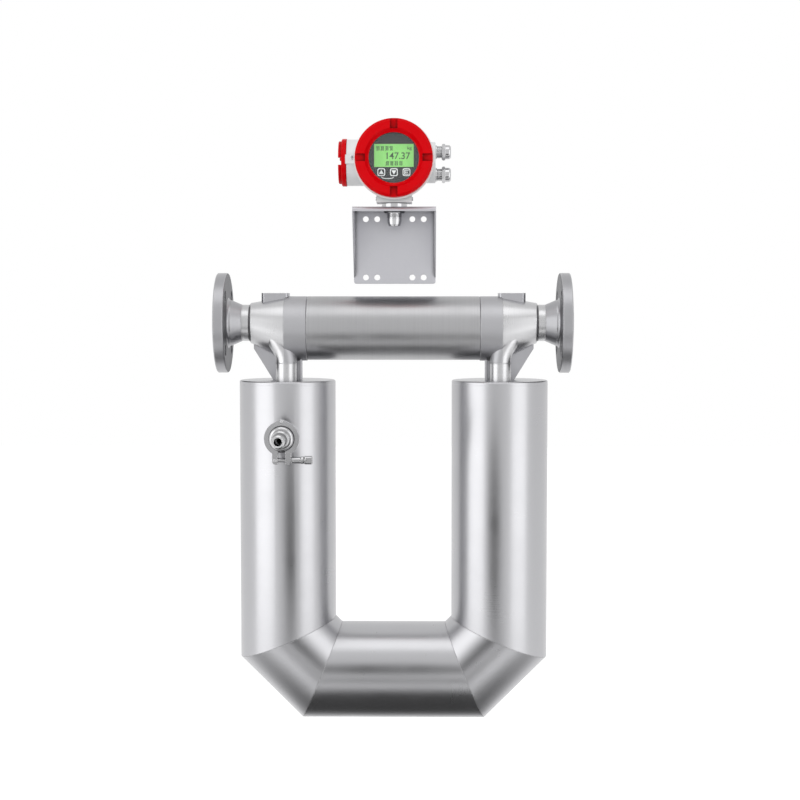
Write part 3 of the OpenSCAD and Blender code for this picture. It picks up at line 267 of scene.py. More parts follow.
class Effects:
    """The effects that more than one finish uses, as shader node groups."""

    def __init__(self) -> None:
        """Builds every group."""
        self.turned = self._turned()
        self.cloudy = self._cloudy()
        self.edges = self._edges()
        self.peel = self._peel()
        self.zone = self._zone()

    def _turned(self) -> bpy.types.NodeTree:
        """Fine rings left by turning or brushing round an axis.

        A point's distance along the axis and from it, each times a density,
        are the place that a noise is read at, so the value changes from ring
        to ring. The drift adds a slow change along each ring.
        """
        w = EffectGroup("turned_rings", {**AXIAL_INPUTS, "Density": 600.0, "Drift": 5.0})
        arm, along, radius = w.round_axis()
        ring = {
            "X": w.math("MULTIPLY", along, w.given["Density"]),
            "Y": w.math("MULTIPLY", radius, w.given["Density"]),
        }
        ring_place = w.add("ShaderNodeCombineXYZ", ring).outputs[0]
        place = w.vector("ADD", ring_place, w.scale(arm, w.given["Drift"]))
        rings = w.noise(place, scale=1.0, detail=3.0, roughness=0.65)
        scratches = w.noise(place, scale=4.0, detail=2.0, roughness=0.5)
        return w.close(Rings=rings, Scratches=scratches)

    def _cloudy(self) -> bpy.types.NodeTree:
        """Slow, soft changes of tone over a surface, between two values."""
        w = EffectGroup("uneven_tone", {"Point": None, "Size": 0.05, "Low": 0.0, "High": 1.0})
        scale = w.math("DIVIDE", 1.0, w.given["Size"])
        noise = w.noise(w.given["Point"], scale, detail=4.0, roughness=0.55)
        return w.close(Value=w.remap(noise, CLOUD_BAND, (w.given["Low"], w.given["High"])))

    def _edges(self) -> bpy.types.NodeTree:
        """Softened edges: a rounded normal, a mask of the edges, which finishes lighten as wear and
        painted highlight, and one of the crevices, which they darken as painted shade.

        An edge is where the rounded normal turns away from the flat one, and
        a crevice is where the piece itself shuts out the sky.
        """
        w = EffectGroup("soft_edges", {"Radius": 0.0006, "Spread": 0.08, "Reach": 0.003})
        bevel = w.add("ShaderNodeBevel", {"Radius": w.given["Radius"]}, samples=4).outputs[0]
        flat = w.add("ShaderNodeNewGeometry").outputs["Normal"]
        turn = w.math("SUBTRACT", 1.0, w.vector("DOT_PRODUCT", bevel, flat))
        reach = {"Distance": w.given["Reach"]}
        # Ambient occlusion: the crevice mask, from how much sky the piece itself lets a point see,
        # drives painted shade.
        sky = w.add("ShaderNodeAmbientOcclusion", reach, samples=6, only_local=True).outputs["AO"]
        crevice = w.remap(sky, SKY_BAND, (1.0, 0.0))
        worn_and_highlight = w.remap(turn, (0.0, w.given["Spread"]), (0.0, 1.0))
        mask = w.math("MULTIPLY", worn_and_highlight, w.math("SUBTRACT", 1.0, crevice))
        return w.close(Normal=bevel, Mask=mask, Crevice=crevice)

    def _peel(self) -> bpy.types.NodeTree:
        """The faint dimples of sprayed paint or moulded plastic, as a height."""
        w = EffectGroup("paint_dimples", {"Point": None, "Size": 0.0012})
        scale = w.math("DIVIDE", 1.0, w.given["Size"])
        return w.close(Height=w.noise(w.given["Point"], scale, detail=2.0, roughness=0.45))

    def _zone(self) -> bpy.types.NodeTree:
        """A mask for a stretch along an axis, or for a ring of distances from it."""
        inputs = {**AXIAL_INPUTS, "Radial": 0.0, "Low": 0.0, "High": 1.0, "Soft": 0.0001}
        w = EffectGroup("zone_mask", inputs)
        _, along, radius = w.round_axis()
        place = w.add("ShaderNodeMix", {0: w.given["Radial"], 2: along, 3: radius}).outputs[0]
        rise = w.math("DIVIDE", w.math("SUBTRACT", place, w.given["Low"]), w.given["Soft"])
        fall = w.math("DIVIDE", w.math("SUBTRACT", w.given["High"], place), w.given["Soft"])
        return w.close(Mask=w.math("MINIMUM", rise, fall, clamp=True))


# ---- Finishes ----


def blank(name: str) -> tuple[bpy.types.Material, Wiring, bpy.types.Node]:
    """Makes a material with only its Principled shader and output."""
    material = bpy.data.materials.new(name)
    material.use_nodes = True
    return material, Wiring(material.node_tree), material.node_tree.nodes["Principled BSDF"]


@dataclass(frozen=True)
class Zone:
    """A stretch of a piece that has another finish.

    Attributes:
        axis: The axis that the stretch is measured along or away from.
        centre: A point on that axis.
        low: Where the stretch starts, in metres from the centre.
        high: Where it ends.
        colour: Reflected colour there.
        roughness: Roughness there.
        radial: Whether the stretch is a range of distances from the axis.
    """

    axis: Axis
    centre: Vec
    low: float
    high: float
    colour: Colour
    roughness: float
    radial: bool = False

    def inputs(self) -> dict[str, object]:
        """What the zone effect's inputs are set to."""
        return {
            "Centre": self.centre, "Axis": self.axis.value, "Radial": float(self.radial),
            "Low": self.low, "High": self.high,
        }


@dataclass(frozen=True)
class Worked:
    """Where a piece was turned or brushed: the axis and a point on it."""

    axis: Axis = Axis.Z
    centre: Vec = ORIGIN

    @classmethod
    def through(cls, axis: Axis, node: str) -> "Worked":
        """An axis through the middle of a node."""
        return cls(axis, vec(middle(node)))


class Finish:
    """What a material is like."""

    def build(self, effects: Effects, name: str, **details: object) -> bpy.types.Material:
        """Makes the material.

        Args:
            effects: The shared node groups.
            name: The new material's name.
            details: What else the finish's wire method takes.

        Returns:
            The material.
        """
        material, w, shader = blank(name)
        self.wire(w, shader, effects, **details)
        return material

    def wire(self, w: Wiring, shader: bpy.types.Node, effects: Effects) -> None:
        """Wires the shader's inputs, in each kind of finish its own way."""
        raise NotImplementedError


@dataclass(frozen=True)
class Metal(Finish):
    """Bare steel or another plain metal.

    Attributes:
        colour: Reflected colour.
        worn_and_highlight: Colour along the edges, lighter both where hands and tools have rubbed them
            and as a painted edge highlight.
        roughness: Mean roughness.
        spread: How far roughness moves over the surface.
        rings: Density of the brush rings, per metre.
        ring_depth: Bump height of the rings, in metres.
        ring_tone: How far the rings darken the colour.
        edge: Radius of the softened edges, in metres.
        cloud: Size of the slow changes in tone, in metres.
        crevice_shade: How far crevices are darkened, as painted shade.
        reach: Distance over which a crevice shades itself, in metres.
        shaded_share: Share of the colour that is left where the painted shade is deepest.
    """

    colour: Colour
    worn_and_highlight: Colour
    roughness: float = 0.28
    spread: float = 0.05
    rings: float = 500.0
    ring_depth: float = 0.000004
    ring_tone: float = 0.06
    edge: float = 0.0006
    cloud: float = 0.06
    crevice_shade: float = 0.75
    reach: float = 0.003
    shaded_share: float = 0.12

    def wire(
        self, w: Wiring, shader: bpy.types.Node, effects: Effects,
        worked: Worked = Worked(), zones: Sequence[Zone] = (),
    ) -> None:
        """Wires rings round the worked axis, zones with another finish, edges lightened as wear and
        painted highlight, and crevices darkened as painted shade.
        """
        point = w.point()
        axis = {"Centre": worked.centre, "Axis": worked.axis.value}
        rings = w.effect(effects.turned, Point=point, Density=self.rings, **axis)
        tone = w.effect(
            effects.cloudy, Point=point, Size=self.cloud, Low=-self.spread, High=self.spread
        )["Value"]
        edge = w.effect(effects.edges, Radius=self.edge, Reach=self.reach)
        dark = vec(c * (1 - 2 * self.ring_tone) for c in self.colour)
        brushed = w.blend(rings["Rings"], dark, self.colour)
        # Edges take the lighter edge colour: wear and a painted edge highlight.
        colour = w.blend(edge["Mask"], brushed, self.worn_and_highlight)
        swing = 0.5 * self.spread
        streak = w.remap(rings["Scratches"], STREAK_BAND, (-swing, swing))
        mean = self.roughness
        for zone in zones:
            mask = w.effect(effects.zone, Point=point, **zone.inputs())["Mask"]
            colour = w.blend(mask, colour, zone.colour)
            mean = w.remap(mask, (0.0, 1.0), (mean, zone.roughness))
        # Crevices darkened by the piece's own occlusion: painted shade.
        share = w.math("MULTIPLY", edge["Crevice"], self.crevice_shade)
        colour = w.blend(share, colour, vec(self.shaded_share * c for c in self.colour))
        rough = w.math("ADD", w.math("ADD", streak, tone), mean)
        normal = w.bump(rings["Scratches"], self.ring_depth, Normal=edge["Normal"])
        w.put(shader, {"Base Color": colour, "Roughness": rough, "Normal": normal, "Metallic": 1.0})


@dataclass(frozen=True)
class Paint(Finish):
    """Sprayed enamel on a casting.

    Attributes:
        colour: Body colour.
        worn_and_highlight: Colour over the edges, where the film is thin, lighter there as a painted
            edge highlight.
        roughness: Roughness of the body.
        coat: Weight of the gloss on top.
        coat_roughness: Roughness of the gloss.
        dimple: Size of the paint's dimples, in metres.
        depth: Height of the dimples, in metres.
        edge: Radius of the softened edges, in metres.
        gloss: Specular level of the body under the coat.
        crevice_shade: How far crevices are darkened, as painted shade.
        reach: Distance over which a crevice shades itself, in metres.
        spread: Turn of the rounded normal that counts as a full edge.
        rub: How far the edge colour covers the edges.
        fading: How far the colour clouds at random towards the edge colour.
        cloud: Size of the clouds, in metres.
        dulling: How far clouds roughen the body.
        shaded_share: Share of the colour that is left where the painted shade is deepest.
    """

    colour: Colour
    worn_and_highlight: Colour
    roughness: float = 0.35
    coat: float = 0.35
    coat_roughness: float = 0.08
    dimple: float = 0.0016
    depth: float = 0.00002
    edge: float = 0.0009
    gloss: float = 0.12
    crevice_shade: float = 0.6
    reach: float = 0.012
    spread: float = 0.3
    rub: float = 0.6
    fading: float = 0.25
    cloud: float = 0.03
    dulling: float = 0.2
    shaded_share: float = 0.25

    def wire(self, w: Wiring, shader: bpy.types.Node, effects: Effects) -> None:
        """Wires a coat over a body with edges lightened as wear and painted highlight, and crevices
        darkened as painted shade.
        """
        point = w.point()
        edge = w.effect(effects.edges, Radius=self.edge, Spread=self.spread, Reach=self.reach)
        tone = w.effect(effects.cloudy, Point=point, Size=self.cloud, High=self.fading)["Value"]
        # Edges take the lighter edge colour, as wear and a painted edge highlight; random clouds lean
        # the same way.
        share = w.math("MAXIMUM", w.math("MULTIPLY", edge["Mask"], self.rub), tone)
        colour = w.blend(share, self.colour, self.worn_and_highlight)
        # Crevices darkened by the piece's own occlusion: painted shade.
        painted_shade = w.math("MULTIPLY", edge["Crevice"], self.crevice_shade)
        colour = w.blend(painted_shade, colour, vec(self.shaded_share * c for c in self.colour))
        rough = w.math("ADD", w.math("MULTIPLY", tone, self.dulling), self.roughness)
        height = w.effect(effects.peel, Point=point, Size=self.dimple)["Height"]
        normal = w.bump(height, self.depth, Normal=edge["Normal"])
        w.put(shader, {"Base Color": colour, "Roughness": rough, "Normal": normal})
        w.put(shader, {"Coat Weight": self.coat, "Coat Roughness": self.coat_roughness})
        w.put(shader, {"Specular IOR Level": self.gloss})


@dataclass(frozen=True)
class Moulding(Finish):
    """Rubber, plastic, board laminate or printed ink.

    Attributes:
        colour: Body colour.
        second: The colour that it clouds towards.
        roughness: Mean roughness.
        grain: Size of the surface grain, in metres.
        depth: Height of the grain, in metres.
        glow: Light that the surface gives off by itself: the display's backlight, and a painted glow
            on the key print.
        gloss: Specular level.
        cloud: Size of the clouds, in metres.
        dulling: How far clouds roughen the surface.
    """

    colour: Colour
    second: Colour
    roughness: float = 0.5
    grain: float = 0.0006
    depth: float = 0.00002
    glow: float = 0.0
    gloss: float = 0.4
    cloud: float = 0.012
    dulling: float = 0.08

    def wire(self, w: Wiring, shader: bpy.types.Node, effects: Effects) -> None:
        """Wires a fine grain and slow clouds."""
        point = w.point()
        tone = w.effect(effects.cloudy, Point=point, Size=self.cloud)["Value"]
        colour = w.blend(tone, self.colour, self.second)
        rough = w.math("ADD", w.math("MULTIPLY", tone, self.dulling), self.roughness)
        height = w.effect(effects.peel, Point=point, Size=self.grain)["Height"]
        normal = w.bump(height, self.depth)
        w.put(shader, {"Base Color": colour, "Roughness": rough, "Normal": normal})
        w.put(shader, {"Specular IOR Level": self.gloss})
        if self.glow:
            w.put(shader, {"Emission Color": colour, "Emission Strength": self.glow})


@dataclass(frozen=True)
class ClearGlass(Finish):
    """Toughened window glass that lets lamps shine through it.

    Attributes:
        tint: Colour of the glass.
        roughness: Least roughness of both faces, and half the most.
        cloud: Size of the changes in roughness, in metres.
        index: Refractive index.
        gloss: Specular level.
    """

    tint: Colour = (0.96, 0.985, 0.98)
    roughness: float = 0.02
    cloud: float = 0.02
    index: float = 1.5
    gloss: float = 0.12

    def wire(self, w: Wiring, shader: bpy.types.Node, effects: Effects) -> None:
        """Wires a hazy glass that shadow rays and diffuse rays pass straight through."""
        haze = w.effect(
            effects.cloudy, Point=w.point(), Size=self.cloud,
            Low=self.roughness, High=2 * self.roughness,
        )["Value"]
        w.put(shader, {"Roughness": haze, "Base Color": self.tint})
        w.put(shader, {"Transmission Weight": 1.0, "IOR": self.index})
        w.put(shader, {"Specular IOR Level": self.gloss})
        ray = w.add("ShaderNodeLightPath").outputs
        passing = w.math("MAXIMUM", ray["Is Shadow Ray"], ray["Is Diffuse Ray"])
        clear = w.add("ShaderNodeBsdfTransparent", {"Color": self.tint})
        mix = w.add("ShaderNodeMixShader", {0: passing, 1: shader.outputs[0], 2: clear.outputs[0]})
        w.put(w.tree.nodes["Material Output"], {"Surface": mix.outputs[0]})


# Each finish's edge colour is lighter than its body, for edge wear and a painted edge highlight, most
# of all on chrome; crevice darkening in every finish is painted shade.
POLISHED = Metal(
    colour=(0.54, 0.54, 0.55), worn_and_highlight=(0.70, 0.70, 0.71), roughness=0.29, spread=0.03, ring_depth=1e-6
)
CASE = Metal(
    colour=(0.46, 0.46, 0.475), worn_and_highlight=(0.62, 0.62, 0.63), roughness=0.30, spread=0.02, rings=260.0,
    ring_depth=8e-7, ring_tone=0.01,
)
BRUSHED = Metal(
    colour=(0.42, 0.42, 0.43), worn_and_highlight=(0.58, 0.58, 0.59), roughness=0.36, spread=0.04,
    rings=420.0, ring_depth=4e-6, ring_tone=0.09,
)
FLANGE = Metal(
    colour=(0.38, 0.38, 0.395), worn_and_highlight=(0.55, 0.55, 0.56), roughness=0.34, spread=0.04, rings=700.0,
    ring_depth=4e-6, ring_tone=0.06, edge=0.0008,
)
SHEET = Metal(
    colour=(0.42, 0.42, 0.44), worn_and_highlight=(0.66, 0.66, 0.68), roughness=0.36, spread=0.03, rings=180.0,
    ring_depth=1e-6, ring_tone=0.03, edge=0.0008,
)
CHROME = Metal(
    colour=(0.52, 0.52, 0.53), worn_and_highlight=(0.86, 0.86, 0.87), roughness=0.12, spread=0.02,
    rings=900.0, ring_depth=1e-6, ring_tone=0.04, edge=0.0005, crevice_shade=0.95, reach=0.005,
)
CAST = Metal(
    colour=(0.42, 0.42, 0.43), worn_and_highlight=(0.78, 0.78, 0.79), roughness=0.26, rings=120.0,
    ring_depth=1e-6, crevice_shade=0.95, reach=0.005,
)
FOLDED = Metal(
    colour=(0.53, 0.53, 0.56), worn_and_highlight=(0.80, 0.80, 0.82), roughness=0.42, spread=0.03,
    rings=140.0, ring_depth=1e-6, ring_tone=0.02, edge=0.0012, crevice_shade=0.9, reach=0.007,
)
COPPER = Metal(
    colour=(0.72, 0.33, 0.16), worn_and_highlight=(0.85, 0.5, 0.3), roughness=0.3, rings=4000.0, ring_tone=0.2
)
MAGNET = Metal(colour=(0.33, 0.33, 0.35), worn_and_highlight=(0.5, 0.5, 0.5), roughness=0.35)
RED = Paint(
    colour=(0.66, 0.0, 0.003), worn_and_highlight=(0.80, 0.004, 0.010), coat=0.10, coat_roughness=0.06, depth=4e-6,
    gloss=0.02, crevice_shade=0.9,
)
WHITE = Paint(
    colour=(0.84, 0.845, 0.85), worn_and_highlight=(0.90, 0.90, 0.90), roughness=0.42, coat=0.25, coat_roughness=0.2,
    depth=6e-6,
)
RUBBER = Moulding(colour=(0.012, 0.012, 0.013), second=(0.03, 0.03, 0.03), roughness=0.6)
PLASTIC = Moulding(
    colour=(0.016, 0.019, 0.022), second=(0.024, 0.028, 0.032), roughness=0.40, depth=1e-6, gloss=0.10
)
BOARD = Moulding(colour=(0.01, 0.10, 0.03), second=(0.02, 0.16, 0.06), roughness=0.4)
LCD = Moulding(
    colour=(0.24, 0.66, 0.15), second=(0.28, 0.70, 0.18), roughness=0.35, depth=0.0, glow=0.30
)
INK = Moulding(colour=(0.015, 0.06, 0.015), second=(0.02, 0.08, 0.02), roughness=0.5, depth=0.0)
# The key print gives off a little light, though it is no lamp: a painted glow.
PRINT = Moulding(
    colour=(0.90, 0.91, 0.91), second=(0.86, 0.87, 0.87), roughness=0.45, depth=0.0, glow=0.2
)
DRUM_SATIN = ((0.40, 0.40, 0.415), 0.46)
# The back face of each flange plate, painted dark as painted shade, with a rougher finish.
SHADED_BACK_FACE = ((0.16, 0.16, 0.17), 0.5)
SOCKET = ((0.004, 0.004, 0.004), 0.6)


@dataclass
class Assembly:
    """Pieces that are dressed together.

    Attributes:
        effects: The shared node groups.
    """

    effects: Effects

    def coat(self, finish: Finish, name: str, *nodes: str, **details: object) -> bpy.types.Material:
        """Makes a material and puts it in every slot of the named CAD nodes.

        Args:
            finish: What the material is like.
            name: The new material's name.
            nodes: The CAD nodes, or none where only new pieces take it.
            details: What else the finish's wire method takes.

        Returns:
            The material.
        """
        material = finish.build(self.effects, name, **details)
        for node in nodes:
            for place in bpy.data.objects[node].material_slots:
                place.material = material
        return material


# ---- Surfaces ----

OVAL_SIDES = 10
THREAD_SIDES = 48
THREAD_START = 0.05


def sheet_mesh(name: str, grid: np.ndarray, loop: bool) -> bpy.types.Object:
    """Makes a smooth surface from a grid of points.

    The point at row i and column j is grid[i, j]; each face joins a point to
    the next row and the next column, and the last column to the first. The
    last row is joined to the first too, or else a flat cap closes each end.

    Args:
        name: The new object's name.
        grid: Points in metres, rows by columns by 3.
        loop: Whether the rows close on themselves.

    Returns:
        The object, at the origin.
    """
    rows, columns = grid.shape[:2]
    index = np.arange(rows * columns).reshape(rows, columns)
    first = index if loop else index[:-1]
    second = np.roll(index, -1, axis=0) if loop else index[1:]
    third = np.roll(second, -1, axis=1)
    fourth = np.roll(first, -1, axis=1)
    faces = np.stack([first, second, third, fourth], axis=-1).reshape(-1, 4).tolist()
    if not loop:
        faces += [index[0].tolist(), index[-1][::-1].tolist()]
    return as_object(name, grid.reshape(-1, 3), faces, smooth=True)


def linked(name: str, data: bpy.types.ID) -> bpy.types.Object:
    """Makes an object of a mesh, lamp, curve or camera and puts it in the scene."""
    piece = bpy.data.objects.new(name, data)
    bpy.context.scene.collection.objects.link(piece)
    return piece


def new_mesh(name: str, points: np.ndarray, faces: list) -> bpy.types.Mesh:
    """Makes a mesh of vertices in metres and each face's vertex indices."""
    mesh = bpy.data.meshes.new(name)
    mesh.from_pydata(points.tolist(), [], faces)
    return mesh


def as_object(name: str, points: np.ndarray, faces: list, smooth: bool) -> bpy.types.Object:
    """Makes a mesh object with its faces turned outwards.

    Args:
        name: The new object's name.
        points: Vertices in metres.
        faces: Vertex indices of each face.
        smooth: Whether the faces are shaded smooth.

    Returns:
        The object, linked to the scene and at the origin.
    """
    mesh = new_mesh(name, points, faces)
    if signed_volume(mesh) < 0:
        mesh.flip_normals()
    mesh.polygons.foreach_set("use_smooth", np.full(len(mesh.polygons), smooth))
    mesh.update()
    return linked(name, mesh)


def points_of(mesh: bpy.types.Mesh) -> np.ndarray:
    """A mesh's vertices, n by 3."""
    places = np.empty(3 * len(mesh.vertices))
    mesh.vertices.foreach_get("co", places)
    return places.reshape(-1, 3)


def signed_volume(mesh: bpy.types.Mesh) -> float:
    """Volume inside a closed mesh, below zero when its faces point inwards.

    It is a sixth of the sum, over all triangles, of the first corner's dot
    product with the cross product of the other two.
    """
    mesh.calc_loop_triangles()
    corners = np.empty(3 * len(mesh.loop_triangles), dtype=np.int32)
    mesh.loop_triangles.foreach_get("vertices", corners)
    a, b, c = np.moveaxis(points_of(mesh)[corners.reshape(-1, 3)], 1, 0)
    return float(np.einsum("ij,ij->i", a, np.cross(b, c)).sum() / 6)


def swept(
    name: str, path: np.ndarray, out: np.ndarray, section: np.ndarray, closed: bool
) -> bpy.types.Object:
    """Carries a section along a path.

    At each path point the section's first coordinate goes along out, and its
    second along the cross product of the path's direction and out.

    Args:
        name: The new object's name.
        path: Path points, n by 3.
        out: Unit vectors away from the surface that the path lies on, n by 3.
        section: Section points, n by m by 2, one section for each path point.
        closed: Whether the path ends where it began.

    Returns:
        The object.
    """
    ahead = np.roll(path, -1, axis=0) - np.roll(path, 1, axis=0)
    if not closed:
        ahead[0], ahead[-1] = path[1] - path[0], path[-1] - path[-2]
    ahead /= np.linalg.norm(ahead, axis=1, keepdims=True)
    side = np.cross(ahead, out)
    side /= np.linalg.norm(side, axis=1, keepdims=True)
    grid = path[:, None] + section[..., :1] * out[:, None] + section[..., 1:] * side[:, None]
    return sheet_mesh(name, grid, loop=closed)


def around(count: int) -> np.ndarray:
    """Even steps of one full turn, in radians."""
    return np.linspace(0, 2 * np.pi, count, endpoint=False)


def outwards(axis: Axis, turn: np.ndarray) -> np.ndarray:
    """Unit vectors away from an axis at each turn in radians, n by 3."""
    first = np.roll(axis.value, 1)
    second = np.cross(axis.value, first)
    return np.cos(turn)[:, None] * first + np.sin(turn)[:, None] * second


@dataclass(frozen=True)
class Bead:
    """A weld bead: a low round ridge with the ripples that the torch leaves.

    Attributes:
        width: Width on the surface.
        height: Height above the surface.
        pitch: Distance between ripples.
        ripple: Share of the height that the ripples take.
        points: Points along the path.
    """

    width: float = 3.0 * MM
    height: float = 1.0 * MM
    pitch: float = 1.6 * MM
    ripple: float = 0.16
    points: int = 260

    def circle(self, centre: Vec, axis: Axis, radius: float) -> tuple[np.ndarray, np.ndarray]:
        """The bead's path round a circle, and the unit vectors from the axis to its points."""
        out = outwards(axis, around(self.points))
        return np.array(centre) + radius * out, out

    def lay(self, name: str, path: np.ndarray, out: np.ndarray) -> bpy.types.Object:
        """Lays the bead along a closed path.

        The section is an ellipse, its centre on the path. Both half axes are
        multiplied by one plus ripple times the sine of the distance run, with
        one wave to each pitch.

        Args:
            name: The new object's name.
            path: Closed path on the surface, n by 3.
            out: Unit vectors away from the surface.

        Returns:
            The bead.
        """
        steps = np.linalg.norm(np.roll(path, -1, axis=0) - path, axis=1)
        run = np.concatenate([[0.0], np.cumsum(steps)[:-1]])
        waves = max(1, round(float(steps.sum()) / self.pitch))
        swell = 1 + self.ripple * np.sin(2 * np.pi * waves * run / steps.sum())
        turn = around(OVAL_SIDES)
        oval = np.stack([self.height * np.cos(turn), 0.5 * self.width * np.sin(turn)], axis=-1)
        return swept(name, path, out, swell[:, None, None] * oval, closed=True)


@dataclass(frozen=True)
class Thread:
    """A helical thread ridge round an upright or level axis.

    Attributes:
        pitch: Rise of one turn.
        height: Height of the ridge.
        half: Half the ridge's width at its foot, as a share of the pitch.
        tip: Width of its tip, as a share of its foot.
        foot: Place of its foot, below the rod's surface.
    """

    pitch: float = 1.5 * MM
    height: float = 0.35 * MM
    half: float = 0.42
    tip: float = 0.12
    foot: float = -0.1 * MM

    def cut(
        self, name: str, start: np.ndarray, axis: Axis, radius: float, length: float
    ) -> bpy.types.Object:
        """Winds the ridge round a rod.

        The path is a helix: it turns at radius while it runs along the axis
        by one pitch a turn. Its section is a triangle with a blunt tip, and
        shrinks to nothing over the first and last half turn.

        Args:
            name: The new object's name.
            start: Centre of the thread's first turn.
            axis: The rod's axis.
            radius: The rod's radius.
            length: Length of the threaded stretch.

        Returns:
            The ridge.
        """
        turns = length / self.pitch
        turn = np.linspace(0, 2 * np.pi * turns, int(THREAD_SIDES * turns))
        out = outwards(axis, turn)
        rise = self.pitch * turn / (2 * np.pi)
        path = start + radius * out + rise[:, None] * np.array(axis.value)
        ends = np.minimum(turn, turn[-1] - turn) / np.pi
        grow = np.clip(ends, THREAD_START, 1.0)[:, None, None]
        half = self.half * self.pitch
        tip = self.tip * half
        tooth = np.array([
            [self.foot, -half], [self.height, -tip], [self.height, tip], [self.foot, half]
        ])
        return swept(name, path, out, grow * tooth[None], closed=False)


def finish(piece: bpy.types.Object, body: str, slot: Slot, material: bpy.types.Material) -> None:
    """Gives a new piece its body and its material."""
    piece.data.materials.clear()
    piece.data.materials.append(material)
    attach(piece, body)
    triangles = sum(len(face.vertices) - 2 for face in piece.data.polygons)
    LOG.info("%s: %d triangles on %s", piece.name, triangles, body)


# ---- Sub-assemblies ----

NOSE_POINTS = 9
ELBOW_POINTS = 24
END_POINTS = 20
NEARLY_SQUARE = 89.0


@dataclass
class Splitter:
    """A flow splitter: pipe ring, leaning cone, drum and two branches.

    Attributes:
        side: Which end of the meter it stands at.
        material: Its steel.
        pipe_r: Outer radius of the pipe ring.
        bore_r: Radius of the bore in the ring.
        ring: Length of the ring.
        nose: Radius and length of the round shoulder behind the ring.
        drum: Length of the drum.
        step: Step from the cone up to the drum.
        wall: Wall of the cone and drum.
        groove: Depth of the weld grooves.
        elbow_r: Centre line radius of a branch elbow.
        sweep: Turn of a branch elbow, in degrees.
        tail: Straight end of a branch below its elbow.
        run: Straight run of a branch above its elbow.
        support: Distance of a supporting ring from the corner that it keeps sharp.
        sides: Points round the shell.
        branch_sides: Points round a branch.
    """

    side: str
    material: bpy.types.Material
    pipe_r: float = 30.15 * MM
    bore_r: float = 26.0 * MM
    ring: float = 12.0 * MM
    nose: float = 5.0 * MM
    drum: float = 36.5 * MM
    step: float = 0.8 * MM
    wall: float = 4.0 * MM
    groove: float = 0.8 * MM
    elbow_r: float = 50.0 * MM
    sweep: float = 31.0
    tail: float = 1.0 * MM
    run: float = 20.0 * MM
    support: float = 0.2 * MM
    sides: int = 160
    branch_sides: int = 72

    def build(self) -> None:
        """Makes the shell and the branches, which stand for the plain splitter."""
        node = self.side + "_splitter"
        shell = self._shell(node)
        finish(shell, "meter", Slot.STEEL, self.material)
        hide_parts(node)
        for row in ROWS:
            branch = self._branch(f"{self.side}_{row}_branch", middle(row + "_flow_tube")[1])
            finish(branch, "meter", Slot.STEEL, self.material)

    def _turned(self, x: np.ndarray) -> np.ndarray:
        """Places along x of distances from this side's end of the meter."""
        return x if self.side == "inlet" else high("outlet_flange")[0] - x

    def _shell(self, node: str) -> bpy.types.Object:
        """The ring, cone and drum as one wall round a line that sinks from ring to drum.

        A profile point at distance x along the meter has a radius r and a
        sink z, and its circle runs at (x, r cos t, z + r sin t). The sink
        grows evenly along the cone.
        """
        start = extent("inlet_flange")[0]
        cone = start + self.ring
        end = high("inlet_splitter")[0]
        drum = end - self.drum
        drum_r = extent(node)[1] / 2
        sink = high(node)[2] - drum_r
        g, r, edge = self.groove, self.pipe_r, self.support
        step_foot = edge / 10
        turn = np.radians(np.linspace(0, 90, NOSE_POINTS))
        outer = [
            (start, self.bore_r), (start, r - g), (start + g, r), (start + g + edge, r),
            (cone - g - edge, r), (cone - g, r), (cone, r - g),
            *zip(cone + self.nose * (1 - np.cos(turn)), r - g + self.nose * np.sin(turn)),
            (drum - edge, drum_r - self.step), (drum - step_foot, drum_r - self.step),
            (drum, drum_r), (drum + edge, drum_r), (end - g - edge, drum_r),
            (end - g, drum_r), (end, drum_r - g), (end, drum_r - self.wall),
        ]
        inner = [
            (drum + self.wall, drum_r - self.wall), (drum, drum_r - self.wall - self.step),
            (cone + self.wall, self.bore_r),
        ]
        x, radius = np.array(outer + inner).T
        height = sink * np.clip((x - cone) / (drum - cone), 0, 1)
        circle = around(self.sides)
        grid = np.stack([
            np.broadcast_to(self._turned(x)[:, None], (len(x), self.sides)),
            radius[:, None] * np.cos(circle),
            height[:, None] + radius[:, None] * np.sin(circle),
        ], axis=-1)
        return sheet_mesh(self.side + "_splitter_shell", grid, loop=True)

    def _branch(self, name: str, y: float) -> bpy.types.Object:
        """A branch from its weld round the elbow and up into the cone.

        The centre line rises by the tail, turns towards the flange on the
        elbow's radius and runs on straight. Its radius ends as a half circle:
        the square root of the tube's radius squared less the distance squared.
        """
        tube_r = extent("front_flow_tube")[1] / 2
        foot = low(self.side + "_splitter")[2]
        stand = middle("inlet_leg_cap")[0]
        turn = np.radians(np.linspace(0, self.sweep, ELBOW_POINTS))
        arc = np.stack([
            stand - self.elbow_r * (1 - np.cos(turn)), foot + self.tail + self.elbow_r * np.sin(turn)
        ], axis=-1)
        along = np.array([-math.sin(turn[-1]), math.cos(turn[-1])])
        reach = tube_r * np.sin(np.radians(np.linspace(0, NEARLY_SQUARE, END_POINTS)))
        path = np.concatenate([[[stand, foot]], arc, arc[-1] + (self.run + reach)[:, None] * along])
        radius = np.full(len(path), tube_r)
        radius[-len(reach):] = np.sqrt(tube_r**2 - reach**2)
        lean = np.concatenate([[0.0], turn, np.full(len(reach), turn[-1])])[:, None]
        circle = around(self.branch_sides)
        grid = np.stack([
            self._turned(path[:, :1] + radius[:, None] * np.cos(circle) * np.cos(lean)),
            y + radius[:, None] * np.sin(circle),
            path[:, 1:] + radius[:, None] * np.cos(circle) * np.sin(lean),
        ], axis=-1)
        return sheet_mesh(name, grid, loop=False)


